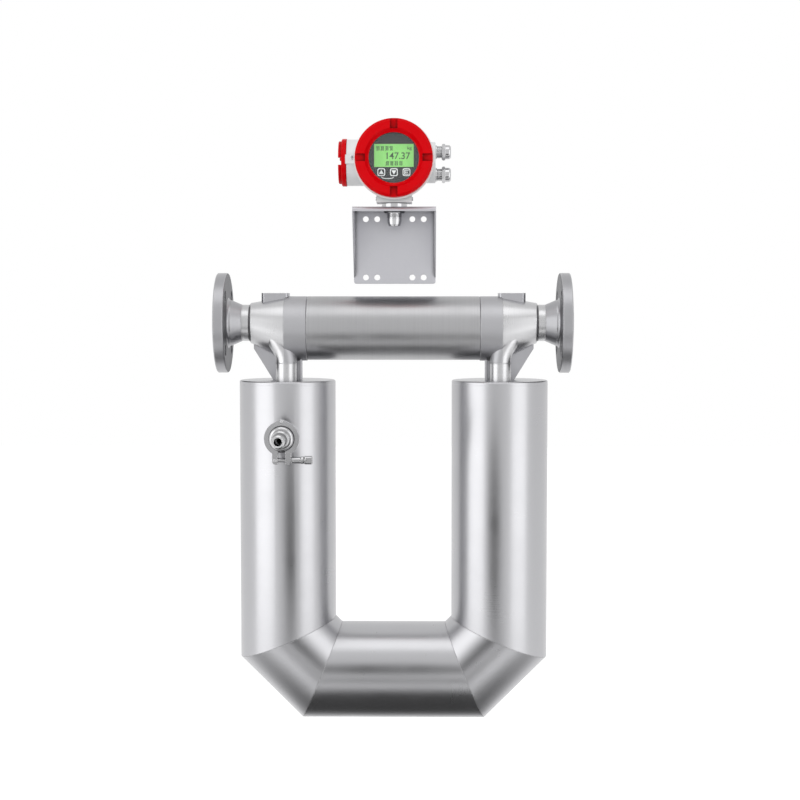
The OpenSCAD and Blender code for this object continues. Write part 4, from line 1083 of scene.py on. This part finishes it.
@dataclass
class Sensor(Assembly):
    """The flanged splitters, the centre tube, the case and what they hold.

    Attributes:
        plate: Thickness of a flange plate with its raised face.
        mark: Half the width of the band at a plate's back face that is painted dark, as painted shade.
        stub_r: Radius of the connector stub.
        saddle_bead: Weld between the connector stub and the leg.
        lap: How far its path lies outside the stub, as a share of its width.
        ring_bead: Weld round a pipe joint.
        ring_sink: How far its path lies inside the pipe's surface.
        collar_bead: Weld between a branch and its leg.
        collar_sink: How far its path lies inside the tube's surface.
        collar_rise: How far its path lies above the joint.
    """

    plate: float = 20.0 * MM
    mark: float = 0.4 * MM
    stub_r: float = 16.0 * MM
    saddle_bead: Bead = Bead(width=3.6 * MM, height=1.6 * MM)
    lap: float = 0.2
    ring_bead: Bead = Bead(width=2.2 * MM, height=0.5 * MM, pitch=1.4 * MM, points=300)
    ring_sink: float = 0.55 * MM
    collar_bead: Bead = Bead(width=1.8 * MM, height=0.9 * MM, pitch=1.3 * MM, points=180)
    collar_sink: float = 0.35 * MM
    collar_rise: float = 0.3 * MM

    def build(self) -> None:
        """Dresses the sensor and adds its welds."""
        self._dress_line()
        self._dress_case()
        self._dress_inside()
        self._weld_stub()
        self._weld_necks()
        self._weld_branches()

    def _dress_line(self) -> None:
        """Flanges, splitters, centre tube and braces."""
        line = Worked(Axis.X)
        drum = Worked.through(Axis.X, "centre_tube")
        reach = high("outlet_flange")[0]
        # Each plate's back face is painted dark: painted shade.
        faces = [
            Zone(Axis.X, ORIGIN, x - self.mark, x + self.mark, *SHADED_BACK_FACE)
            for x in (self.plate, reach - self.plate)
        ]
        self.coat(
            FLANGE, "turned_flange", "inlet_flange", "outlet_flange", worked=line, zones=faces
        )
        inner, outer = high("inlet_splitter")[0], low("outlet_splitter")[0]
        drums = [
            Zone(Axis.X, ORIGIN, inner - Splitter.drum, inner + MM, *DRUM_SATIN),
            Zone(Axis.X, ORIGIN, outer - MM, outer + Splitter.drum, *DRUM_SATIN),
        ]
        steel = self.coat(POLISHED, "polished_splitter", worked=drum, zones=drums)
        for side in SIDES:
            Splitter(side, steel).build()
        self.coat(BRUSHED, "brushed_tube", "centre_tube", worked=drum)
        braces = [side + part for side in SIDES for part in ("_top_channel", "_gusset")]
        self.coat(SHEET, "rolled_sheet", *braces, worked=line)

    def _dress_case(self) -> None:
        """The mitred case pipes and the leg caps, each brushed round its own axis."""
        for side in SIDES:
            leg = Worked.through(Axis.Z, side + "_leg_cap")
            self.coat(CASE, side + "_leg_steel", side + "_leg_shell", side + "_leg_cap", worked=leg)
            corner = side + "_corner_shell"
            self.coat(CASE, side + "_corner_steel", corner, worked=Worked.through(Axis.Z, corner))
        bottom = Worked.through(Axis.X, "bottom_shell")
        self.coat(CASE, "bottom_steel", "bottom_shell", worked=bottom)

    def _dress_inside(self) -> None:
        """Flow tubes, node plates, coils, magnets and the temperature sensor."""
        self.coat(POLISHED, "drawn_tube", "front_flow_tube", "rear_flow_tube")
        self.coat(BRUSHED, "cut_plate", "node_plates")
        self.coat(SHEET, "bracket_sheet", "coil_brackets", "magnet_brackets")
        wound = Worked(Axis.Y)
        self.coat(COPPER, "copper_winding", "drive_coil", "pickoff_coils", worked=wound)
        plated = ("drive_magnet", "pickoff_magnets", "temperature_sensor")
        self.coat(MAGNET, "magnet_plating", *plated, worked=wound)

    def _weld_stub(self) -> None:
        """The saddle weld round the connector stub.

        Round the stub, x and z run on a circle, and y lies on the leg: minus
        the square root of the leg's radius squared less x squared. The bead
        leans away from both, twice as far from the leg as from the stub.
        """
        leg = middle("inlet_leg_cap")
        stub = middle("connector_stub")
        leg_r = extent("inlet_leg_cap")[0] / 2
        radius = self.stub_r + self.lap * self.saddle_bead.width
        path, out = self.saddle_bead.circle((stub[0], leg[1], stub[2]), Axis.Y, radius)
        path[:, 1] = leg[1] - np.sqrt(leg_r**2 - (path[:, 0] - leg[0]) ** 2)
        out = 0.5 * out - np.array(Axis.Y.value)
        out /= np.linalg.norm(out, axis=1, keepdims=True)
        bead = self.saddle_bead.lay("stub_weld", path, out)
        finish(bead, "meter", Slot.STEEL, self.coat(POLISHED, "stub_weld_steel"))

    def _weld_necks(self) -> None:
        """Butt welds where each pipe ring meets its flange's neck."""
        steel = self.coat(POLISHED, "neck_weld_steel", worked=Worked(Axis.X))
        neck = high("inlet_flange")[0]
        reach = high("outlet_flange")[0]
        radius = Splitter.pipe_r - self.ring_sink
        for side, x in zip(SIDES, (neck, reach - neck)):
            path, out = self.ring_bead.circle((x, 0.0, 0.0), Axis.X, radius)
            bead = self.ring_bead.lay(side + "_neck_weld", path, out)
            finish(bead, "meter", Slot.STEEL, steel)

    def _weld_branches(self) -> None:
        """Fillet welds between each branch and the leg cap below it."""
        steel = self.coat(POLISHED, "branch_weld_steel")
        radius = extent("front_flow_tube")[1] / 2 - self.collar_sink
        height = low("inlet_splitter")[2] + self.collar_rise
        for side in SIDES:
            x = middle(side + "_leg_cap")[0]
            for row in ROWS:
                y = middle(row + "_flow_tube")[1]
                path, out = self.collar_bead.circle((x, y, height), Axis.Z, radius)
                bead = self.collar_bead.lay(f"{side}_{row}_branch_weld", path, out)
                finish(bead, "meter", Slot.STEEL, steel)


@dataclass
class Clamp(Assembly):
    """The signal connector on the inlet leg with its hinged clamp.

    Attributes:
        socket_r: Radius of the dark socket inside the connector.
    """

    socket_r: float = 5.2 * MM

    def build(self) -> None:
        """Dresses the connector and clamp."""
        port = Worked.through(Axis.Y, "signal_connector")
        socket = Zone(Axis.Y, port.centre, -MM, self.socket_r, *SOCKET, radial=True)
        bolt = Worked.through(Axis.X, "clamp_nut")
        self.coat(POLISHED, "stub_steel", "connector_stub", worked=port)
        self.coat(CHROME, "connector_steel", "signal_connector", worked=port, zones=[socket])
        self.coat(CAST, "cast_clamp", "clamp_left_half", "clamp_right_half", worked=port)
        self.coat(CHROME, "clamp_pins", "clamp_hinge_pin", "clamp_bolt_pin", worked=port)
        self.coat(CHROME, "clamp_bolt_steel", "clamp_swing_bolt", "clamp_nut", worked=bolt)
        self.coat(RUBBER, "gasket_rubber", "connector_gasket")


@dataclass
class Transmitter(Assembly):
    """The housing with its covers, glands and neck.

    Attributes:
        thread: Thread on the glands and the neck stem.
        gland_gap: Distance from the housing's side to a gland's thread.
        gland_r: Radius under a gland's thread.
        gland_run: Length of a gland's thread.
        stem_r: Radius under the stem's thread.
        stem_gap: Plain stretch at each end of the stem.
    """

    thread: Thread = Thread()
    gland_gap: float = 2.8 * MM
    gland_r: float = 10.0 * MM
    gland_run: float = 7.0 * MM
    stem_r: float = 12.5 * MM
    stem_gap: float = 0.6 * MM

    def build(self) -> None:
        """Dresses the transmitter and adds its threads."""
        self.coat(WHITE, "white_enamel", "housing", "cover_lock")
        self.coat(RED, "red_enamel", "front_cover", "side_cover")
        self.coat(ClearGlass(), "window_glass_clear", "window_glass")
        seals = ("front_cover_seal", "side_cover_seal", "gland_seals", "neck_gland_seal")
        self.coat(RUBBER, "seal_rubber", *seals)
        window = Worked.through(Axis.Y, "front_cover")
        self.coat(SHEET, "retainer_sheet", "window_retainer", worked=window)
        self.coat(BOARD, "board_laminate", "display_board", "main_board")
        self.coat(BRUSHED, "pillar_steel", "board_pillars")
        self.coat(PLASTIC, "terminal_plastic", "terminal_block")
        self.coat(CHROME, "small_screws", "terminal_screws", "cover_lock_screw")
        self._dress_glands()
        self._dress_neck()

    def _dress_glands(self) -> None:
        """Both cable glands and the short threads beside the boss."""
        axis = Worked.through(Axis.X, "gland_bodies")
        steel = self.coat(CHROME, "gland_nickel", "gland_bodies", "gland_nuts", worked=axis)
        start = high("housing")[0] + self.gland_gap
        spread = extent("gland_nuts")[2] - extent("gland_nuts")[1]
        for name, side in (("upper_gland_thread", 1), ("lower_gland_thread", -1)):
            centre = middle("gland_nuts") + np.array([0.0, 0.0, side * spread / 2])
            centre[0] = start
            ridge = self.thread.cut(name, centre, Axis.X, self.gland_r, self.gland_run)
            finish(ridge, "transmitter", Slot.FASTENER, steel)

    def _dress_neck(self) -> None:
        """The collar, its screws, the stem's thread, the lock nut and the gland nut."""
        axis = Worked.through(Axis.Z, "neck_stem")
        nodes = ("neck_stem", "neck_screws", "neck_lock_nut", "neck_gland_nut")
        steel = self.coat(CHROME, "neck_nickel", *nodes, worked=axis)
        start = middle("neck_stem")
        start[2] = low("neck_stem")[2] + self.stem_gap
        length = low("neck_lock_nut")[2] - start[2] - self.stem_gap
        ridge = self.thread.cut("stem_thread", start, Axis.Z, self.stem_r, length)
        finish(ridge, "meter", Slot.FASTENER, steel)


# A plain mark, in shares of its cell: its level bars, its upright bars, and how
# far a draw shortens the first and moves the second.
MARK_SEED = 7
MARK_ROWS = (0.01, 0.31, 0.61, 0.91)
MARK_WIDTH = 0.95
MARK_BAR = 0.12
MARK_CUT = 0.25
MARK_COLUMNS = (0.22, 0.62)
MARK_FOOT = 0.06
MARK_HEIGHT = 0.9
MARK_STEM = 0.13
MARK_SHIFT = 0.2
# Half a symbol in shares of its key, and in shares of that half the foot of an
# arrow and the left, bottom, width and height of the third symbol's bars.
SYMBOL = 0.31
ARROW_BASE = 0.75
ENTER_BARS = (
    (-0.9, -1.0, 0.35, 2.0), (-0.9, 0.65, 1.8, 0.35),
    (-0.9, -1.0, 1.8, 0.35), (-0.9, -0.17, 1.5, 0.34),
)
# The bracket under two keys: its top and drop in shares of a key, the power
# that steepens its ends, and half its line in shares of a key's line.
HOOK_TOP = 0.56
HOOK_DROP = 0.26
HOOK_POWER = 0.35
HOOK_LINE = 0.45
HOOK_POINTS = 40


@dataclass
class DisplayFace(Assembly):
    """The faceplate: its display characters and three touch keys.

    Attributes:
        reading: Width and height of the reading.
        unit: Width and height of the unit.
        weight: How far the characters are thickened, in their own size.
        reading_corner: The reading's lower right corner, as shares of the display.
        unit_corner: The unit's lower right corner.
        heading_corner: Lower left corner of the line beside the unit.
        state_corner: Lower left corner of the line under the reading.
        cell: Height and width of a plain mark.
        cell_pitch: Distance between marks, as a share of the cell.
        marks: Number of marks in a line.
        key_size: Width and height of a key.
        key_pitch: Distance between keys.
        key_line: Width of a key's outline.
        key_drop: Distance from the display's lower edge to the keys' middle.
        key_power: Power of the superellipse that rounds a key.
        key_points: Points round a key.
        ink: Thickness of everything printed.
        body: The body that everything printed rides on.
    """

    reading: tuple[float, float] = (38.0 * MM, 10.8 * MM)
    unit: tuple[float, float] = (6.8 * MM, 6.2 * MM)
    weight: float = 0.006
    reading_corner: tuple[float, float] = (0.91, 0.34)
    unit_corner: tuple[float, float] = (0.95, 0.72)
    heading_corner: tuple[float, float] = (0.04, 0.72)
    state_corner: tuple[float, float] = (0.28, 0.07)
    cell: float = 6.4 * MM
    cell_pitch: float = 1.14
    marks: int = 4
    key_size: float = 12.6 * MM
    key_pitch: float = 20.4 * MM
    key_line: float = 1.4 * MM
    key_drop: float = 8.4 * MM
    key_power: float = 4.5
    key_points: int = 72
    ink: float = 0.12 * MM
    body: str = "transmitter"

    def build(self) -> None:
        """Dresses the faceplate and prints the characters and keys."""
        self.coat(PLASTIC, "faceplate_plastic", "display_faceplate")
        self.coat(LCD, "display_backlight", "display_glass")
        self._print_reading()
        self._print_lines()
        self._print_keys()

    def _on_screen(self, across: float, up: float) -> np.ndarray:
        """A point on the display's front face, at shares of its width and height."""
        start = low("display_glass")
        return start + extent("display_glass") * np.array([across, 0.0, up])

    def _print_reading(self) -> None:
        """The reading and its unit, as flat characters just in front of the display."""
        ink = self.coat(INK, "display_ink")
        for name, words, size, corner in (
            ("display_reading", "147.37", self.reading, self.reading_corner),
            ("display_unit", "kg", self.unit, self.unit_corner),
        ):
            piece = self._text(name, words, size, self._on_screen(*corner))
            finish(piece, self.body, Slot.DISPLAY, ink)

    def _text(
        self, name: str, words: str, size: tuple[float, float], corner: np.ndarray
    ) -> bpy.types.Object:
        """Makes flat characters as a mesh, upright and facing the front.

        Args:
            name: The new object's name.
            words: The characters.
            size: Width and height of all the characters together.
            corner: Their lower right corner, on the face that they lie on.

        Returns:
            The object.
        """
        curve = bpy.data.curves.new(name, "FONT")
        curve.body = words
        curve.extrude = 0.5
        curve.offset = self.weight
        source = linked(name + "_source", curve)
        graph = bpy.context.evaluated_depsgraph_get()
        mesh = bpy.data.meshes.new_from_object(source.evaluated_get(graph))
        bpy.data.objects.remove(source)
        flat = points_of(mesh)
        upright = np.stack([flat[:, 0], -flat[:, 2], flat[:, 1]], axis=-1)
        whole = np.array([size[0], self.ink, size[1]])
        shape = (upright - upright.min(axis=0)) * whole / np.ptp(upright, axis=0)
        shift = corner - np.array([size[0], self.ink, 0.0])
        mesh.vertices.foreach_set("co", (shape + shift).ravel())
        mesh.update()
        mesh.name = name
        return linked(name, mesh)

    def _print_lines(self) -> None:
        """Two short lines of plain marks, where a display names its quantity and its state.

        Each mark is a square cell with four level bars and two upright ones,
        their lengths and places taken from a fixed random draw. A bar's left,
        bottom, width and height are shares of the cell.
        """
        draw = np.random.default_rng(MARK_SEED)
        ink = self.coat(INK, "line_ink")
        for name, shares_in in (
            ("display_heading", self.heading_corner), ("display_state", self.state_corner)
        ):
            corner = self._on_screen(*shares_in)
            shares = []
            for cell in range(self.marks):
                left = cell * self.cell_pitch
                for row in MARK_ROWS:
                    cut = MARK_CUT * draw.random()
                    shares.append((left + cut, row, MARK_WIDTH - cut, MARK_BAR))
                for column in MARK_COLUMNS:
                    place = column + MARK_SHIFT * draw.random()
                    shares.append((left + place, MARK_FOOT, MARK_STEM, MARK_HEIGHT))
            bars = self.cell * np.array(shares) + np.array([corner[0], corner[2], 0.0, 0.0])
            finish(self._bars(name, bars, corner[1]), self.body, Slot.DISPLAY, ink)

    def _bars(self, name: str, bars: np.ndarray, face: float) -> bpy.types.Object:
        """Makes thin bars on a face that looks to the front.

        Args:
            name: The new object's name.
            bars: Left, bottom, width and height of each bar.
            face: The face's y.

        Returns:
            The bars as one object.
        """
        front = [[0, 0, 0], [1, 0, 0], [1, 0, 1], [0, 0, 1]]
        corners = np.array(front + [[x, 1, z] for x, _, z in front])
        size = np.stack([bars[:, 2], np.full(len(bars), -self.ink), bars[:, 3]], axis=-1)
        base = np.stack([bars[:, 0], np.full(len(bars), face), bars[:, 1]], axis=-1)
        points = (base[:, None] + corners[None] * size[:, None]).reshape(-1, 3)
        rim = [[i, (i + 1) % 4, (i + 1) % 4 + 4, i + 4] for i in range(4)]
        sides = np.array([[0, 3, 2, 1], [4, 5, 6, 7], *rim])
        faces = (sides[None] + 8 * np.arange(len(bars))[:, None, None]).reshape(-1, 4).tolist()
        return as_object(name, points, faces, smooth=False)

    def _print_keys(self) -> None:
        """Three rounded key outlines, each with a symbol, and the bracket under the first two."""
        face = low("display_faceplate")[1]
        centre = middle("display_glass")[0]
        z = low("display_glass")[2] - self.key_drop
        white = self.coat(PRINT, "key_print")
        for index, name in enumerate(("up", "down", "enter")):
            x = centre + (index - 1) * self.key_pitch
            outline = self._key_outline(f"key_{name}_outline", x, z, face)
            symbol = self._key_symbol(f"key_{name}_symbol", index, x, z, face)
            for piece in (outline, symbol):
                finish(piece, self.body, Slot.PLASTIC, white)
        bracket = self._bracket_mark("key_bracket_mark", centre, z, face)
        finish(bracket, self.body, Slot.PLASTIC, white)

    def _outline(self, x: float, z: float, half: float) -> np.ndarray:
        """Points round a rounded square.

        It is a superellipse: cosine and sine of the turn, each raised to two
        over the power with its own sign, times half the width.
        """
        turn = around(self.key_points)
        wave = np.stack([np.cos(turn), np.sin(turn)], axis=-1)
        return np.array([x, z]) + half * np.sign(wave) * np.abs(wave) ** (2 / self.key_power)

    def _band(
        self, name: str, outer: np.ndarray, inner: np.ndarray, face: float, closed: bool
    ) -> bpy.types.Object:
        """Makes a flat band between two outlines, as thick as the print."""
        front = face - self.ink
        rows = ((outer, face), (outer, front), (inner, front), (inner, face))
        grid = np.stack([np.insert(points, 1, y, axis=1) for points, y in rows], axis=1)
        piece = sheet_mesh(name, grid, loop=closed)
        flat = np.zeros(len(piece.data.polygons), dtype=bool)
        piece.data.polygons.foreach_set("use_smooth", flat)
        return piece

    def _key_outline(self, name: str, x: float, z: float, face: float) -> bpy.types.Object:
        """The rounded square round one key."""
        half = self.key_size / 2
        outer = self._outline(x, z, half)
        inner = self._outline(x, z, half - self.key_line)
        return self._band(name, outer, inner, face, closed=True)

    def _key_symbol(
        self, name: str, index: int, x: float, z: float, face: float
    ) -> bpy.types.Object:
        """An arrow up, an arrow down, or an open square bracket with a bar."""
        r = SYMBOL * self.key_size
        if index == 2:
            bars = r * np.array(ENTER_BARS) + np.array([x, z, 0.0, 0.0])
            return self._bars(name, bars, face)
        up = r if index == 0 else -r
        base = z - ARROW_BASE * up
        corners = np.array([[x - r, base], [x + r, base], [x, z + up]])
        points = np.concatenate([
            np.insert(corners, 1, face - self.ink, axis=1), np.insert(corners, 1, face, axis=1)
        ])
        faces = [[0, 1, 2], [5, 4, 3], [0, 3, 4, 1], [1, 4, 5, 2], [2, 5, 3, 0]]
        return as_object(name, points, faces, smooth=False)

    def _bracket_mark(self, name: str, centre: float, z: float, face: float) -> bpy.types.Object:
        """The shallow bracket that ties the first two keys together.

        Its middle line runs between the two keys and hangs down between
        them: the drop is a sine of the way along, raised to a low power, so
        it is flat in the middle and steep at both ends.
        """
        way = np.linspace(0, 1, HOOK_POINTS)
        x = centre - self.key_pitch + way * self.key_pitch
        top = z - HOOK_TOP * self.key_size
        drop = HOOK_DROP * self.key_size * np.sin(np.pi * way) ** HOOK_POWER
        half = HOOK_LINE * self.key_line
        outer = np.stack([x, top - drop - half], axis=-1)
        inner = np.stack([x, top - drop + half], axis=-1)
        return self._band(name, outer, inner, face, closed=False)


@dataclass
class WallBracket(Assembly):
    """The folded bracket that the transmitter stands on."""

    def build(self) -> None:
        """Dresses the bracket."""
        self.coat(FOLDED, "bracket_steel", "wall_bracket")


# ---- Studio ----

WHITE_LIGHT = (1.0, 1.0, 1.0)
SQUARE = np.array([[-1, -1], [1, -1], [1, 1], [-1, 1]])


@dataclass
class Softbox:
    """A large soft lamp that faces a point.

    Attributes:
        name: The lamp's name.
        azimuth: Angle from the front, towards the outlet, in degrees.
        reach: Level distance from the object's middle.
        height: Height of the lamp's middle.
        size: Width and height of the lamp.
        radiance: Brightness of its face.
    """

    name: str
    azimuth: float
    reach: float
    height: float
    size: tuple[float, float]
    radiance: float

    def hang(self, target: np.ndarray) -> None:
        """Hangs the lamp so that it faces the target.

        A flat lamp of area A gives off pi times A times its brightness.

        Args:
            target: The point that the lamp faces.
        """
        data = bpy.data.lights.new(self.name, "AREA")
        data.shape = "RECTANGLE"
        data.size, data.size_y = self.size
        data.energy = math.pi * self.size[0] * self.size[1] * self.radiance
        lamp = linked(self.name, data)
        turn = math.radians(self.azimuth)
        lamp.location = (
            target[0] + self.reach * math.sin(turn),
            target[1] - self.reach * math.cos(turn),
            self.height,
        )
        aim = Vector(target) - lamp.location
        lamp.rotation_euler = aim.to_track_quat("-Z", "Y").to_euler()
        lamp.visible_camera = False


@dataclass
class Card:
    """A dark card with soft edges that only polished surfaces see.

    Its darkness falls from the middle to the rim with the distance from the
    centre, measured in half widths and half heights.

    Attributes:
        name: The card's name.
        half: Half its width, along x, and half its height.
        lean: Angle of its height from level, in degrees.
        darkness: How far its middle covers what is behind it.
        margin: Size of the whole card, as a share of the half width and height.
        fade: Distances from the centre where the darkness starts and ends its fall.
    """

    name: str
    half: tuple[float, float]
    lean: float
    darkness: float
    margin: float = 1.6
    fade: tuple[float, float] = (0.45, 1.5)

    def hang(self, centre: np.ndarray) -> None:
        """Makes the card with its middle at the centre."""
        tilt = math.radians(self.lean)
        axes = np.array([[1.0, 0.0, 0.0], [0.0, math.cos(tilt), math.sin(tilt)]])
        points = centre + self.margin * (SQUARE * self.half) @ axes
        mesh = new_mesh(self.name, points, [[0, 1, 2, 3]])
        material, w, shader = blank(self.name)
        w.put(shader, {"Base Color": (0.02, 0.02, 0.02), "Roughness": 1.0, "Specular IOR Level": 0.0})
        moved = w.vector("SUBTRACT", w.point(), vec(centre))
        squares = []
        for along, reach in zip(axes, self.half):
            share = w.vector("DOT_PRODUCT", moved, vec(along / reach))
            squares.append(w.math("MULTIPLY", share, share))
        fall = {
            "Value": w.math("SQRT", w.math("ADD", *squares)),
            "From Min": self.fade[0], "From Max": self.fade[1],
            "To Min": self.darkness, "To Max": 0.0,
        }
        dark = w.add("ShaderNodeMapRange", fall, interpolation_type="SMOOTHSTEP")
        w.put(shader, {"Alpha": dark.outputs["Result"]})
        mesh.materials.append(material)
        card = linked(self.name, mesh)
        for flag in ("visible_camera", "visible_diffuse", "visible_shadow", "visible_transmission"):
            setattr(card, flag, False)
        card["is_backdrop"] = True


LAMPS = (
    Softbox("left_softbox", -56.0, 2.3, 0.1, (1.9, 2.6), 1.20),
    Softbox("right_softbox", 48.0, 2.3, 0.1, (1.5, 2.6), 1.00),
    Softbox("top_softbox", 0.0, 0.9, 2.1, (2.0, 1.4), 0.95),
)
FRONT_CARD = Card("front_card", half=(0.22, 0.17), lean=90.0, darkness=1.0)
LOW_CARD = Card("low_card", half=(0.62, 0.42), lean=0.0, darkness=0.94)
FLOOR_FLAG = Card("floor_flag", half=(0.60, 0.70), lean=0.0, darkness=0.72)


@dataclass
class Studio:
    """Camera, lamps, floor and the dark cards that shape the steel's reflections.

    Attributes:
        lens: Focal length in millimetres on the sensor.
        sensor: Sensor width in millimetres.
        camera_place: Camera position in the row's frame.
        yaw: Turn to the left, in degrees.
        pitch: Tilt downwards, in degrees.
        floor_drop: Distance from the object's lowest point to the floor.
        floor_half: Half the floor's width.
        ambient: Level of the light that reaches diffuse surfaces from all round.
        aim_height: Height of the point that the lamps face.
        front_place: Middle of the card in front of the case.
        low_place: Middle of the card under the object, from the floor below its middle.
        flag_place: Middle of the card on the floor ahead, from the same point.
    """

    lens: float = 74.092
    sensor: float = 36.0
    camera_place: Vec = (0.341878, -2.732190, 0.036691)
    yaw: float = 0.78
    pitch: float = 3.45
    floor_drop: float = 0.34
    floor_half: float = 9.0
    ambient: float = 0.64
    aim_height: float = -0.2
    front_place: Vec = (0.262, -0.80, -0.43)
    low_place: Vec = (0.0, -0.1, 0.03)
    flag_place: Vec = (0.0, -1.55, 0.02)

    def build(self) -> None:
        """Sets up the view, the camera, the lamps, the floor and the cards."""
        scene = bpy.context.scene
        scene.view_settings.view_transform = "Standard"
        lowest, highest = (np.array(corner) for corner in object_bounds())
        centre = (lowest + highest) / 2
        below = np.array([centre[0], centre[1], lowest[2] - self.floor_drop])
        self._camera(scene)
        self._world(scene)
        for lamp in LAMPS:
            lamp.hang(np.array([centre[0], 0.0, self.aim_height]))
        self._floor(below)
        FRONT_CARD.hang(np.array(self.front_place))
        LOW_CARD.hang(below + self.low_place)
        FLOOR_FLAG.hang(below + self.flag_place)

    def _camera(self, scene: bpy.types.Scene) -> None:
        """Adds the camera at the viewing angle."""
        data = bpy.data.cameras.new("view")
        data.lens, data.sensor_width = self.lens, self.sensor
        camera = linked("view", data)
        camera.location = self.camera_place
        camera.rotation_euler = (math.radians(90 - self.pitch), 0.0, math.radians(self.yaw))
        scene.camera = camera

    def _world(self, scene: bpy.types.Scene) -> None:
        """A white backdrop for the eye, gloss and glass, and a plain level for the rest."""
        world = bpy.data.worlds.new("studio")
        world.use_nodes = True
        scene.world = world
        world.cycles.sampling_method = "NONE"
        w = Wiring(world.node_tree)
        backdrop = world.node_tree.nodes["Background"]
        strength = w.remap(w.seen(), (0.0, 1.0), (self.ambient, 1.0))
        w.put(backdrop, {"Color": WHITE_LIGHT, "Strength": strength})

    def _floor(self, centre: np.ndarray) -> None:
        """A plain pale floor that runs into the backdrop and keeps its shadow."""
        corners = centre + np.insert(self.floor_half * SQUARE, 2, 0.0, axis=1)
        mesh = new_mesh("floor", corners, [[0, 1, 2, 3]])
        material, w, shader = blank("pale_floor")
        w.put(shader, {"Base Color": (0.8, 0.8, 0.8), "Roughness": 0.9, "Specular IOR Level": 0.1})
        glow = w.math("MULTIPLY", w.seen(), 0.55)
        w.put(shader, {"Emission Color": WHITE_LIGHT, "Emission Strength": glow})
        mesh.materials.append(material)
        linked("floor", mesh)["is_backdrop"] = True


def plain(corners: Iterable[Iterable[float]]) -> list[list[float]]:
    """Box corners as plain lists of numbers."""
    return [[float(v) for v in corner] for corner in corners]


def main(cad_box: list[list[float]]) -> None:
    """Builds every sub-assembly in order.

    Args:
        cad_box: The CAD model's box; not used.
    """
    logging.basicConfig(level=logging.INFO, format="%(name)s: %(message)s")
    effects = Effects()
    for assembly in (Sensor, Clamp, Transmitter, DisplayFace, WallBracket):
        assembly(effects).build()
        LOG.info("%s dressed", assembly.__name__)
    Studio().build()


if __name__ == "__main__":
    main(plain(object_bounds()))
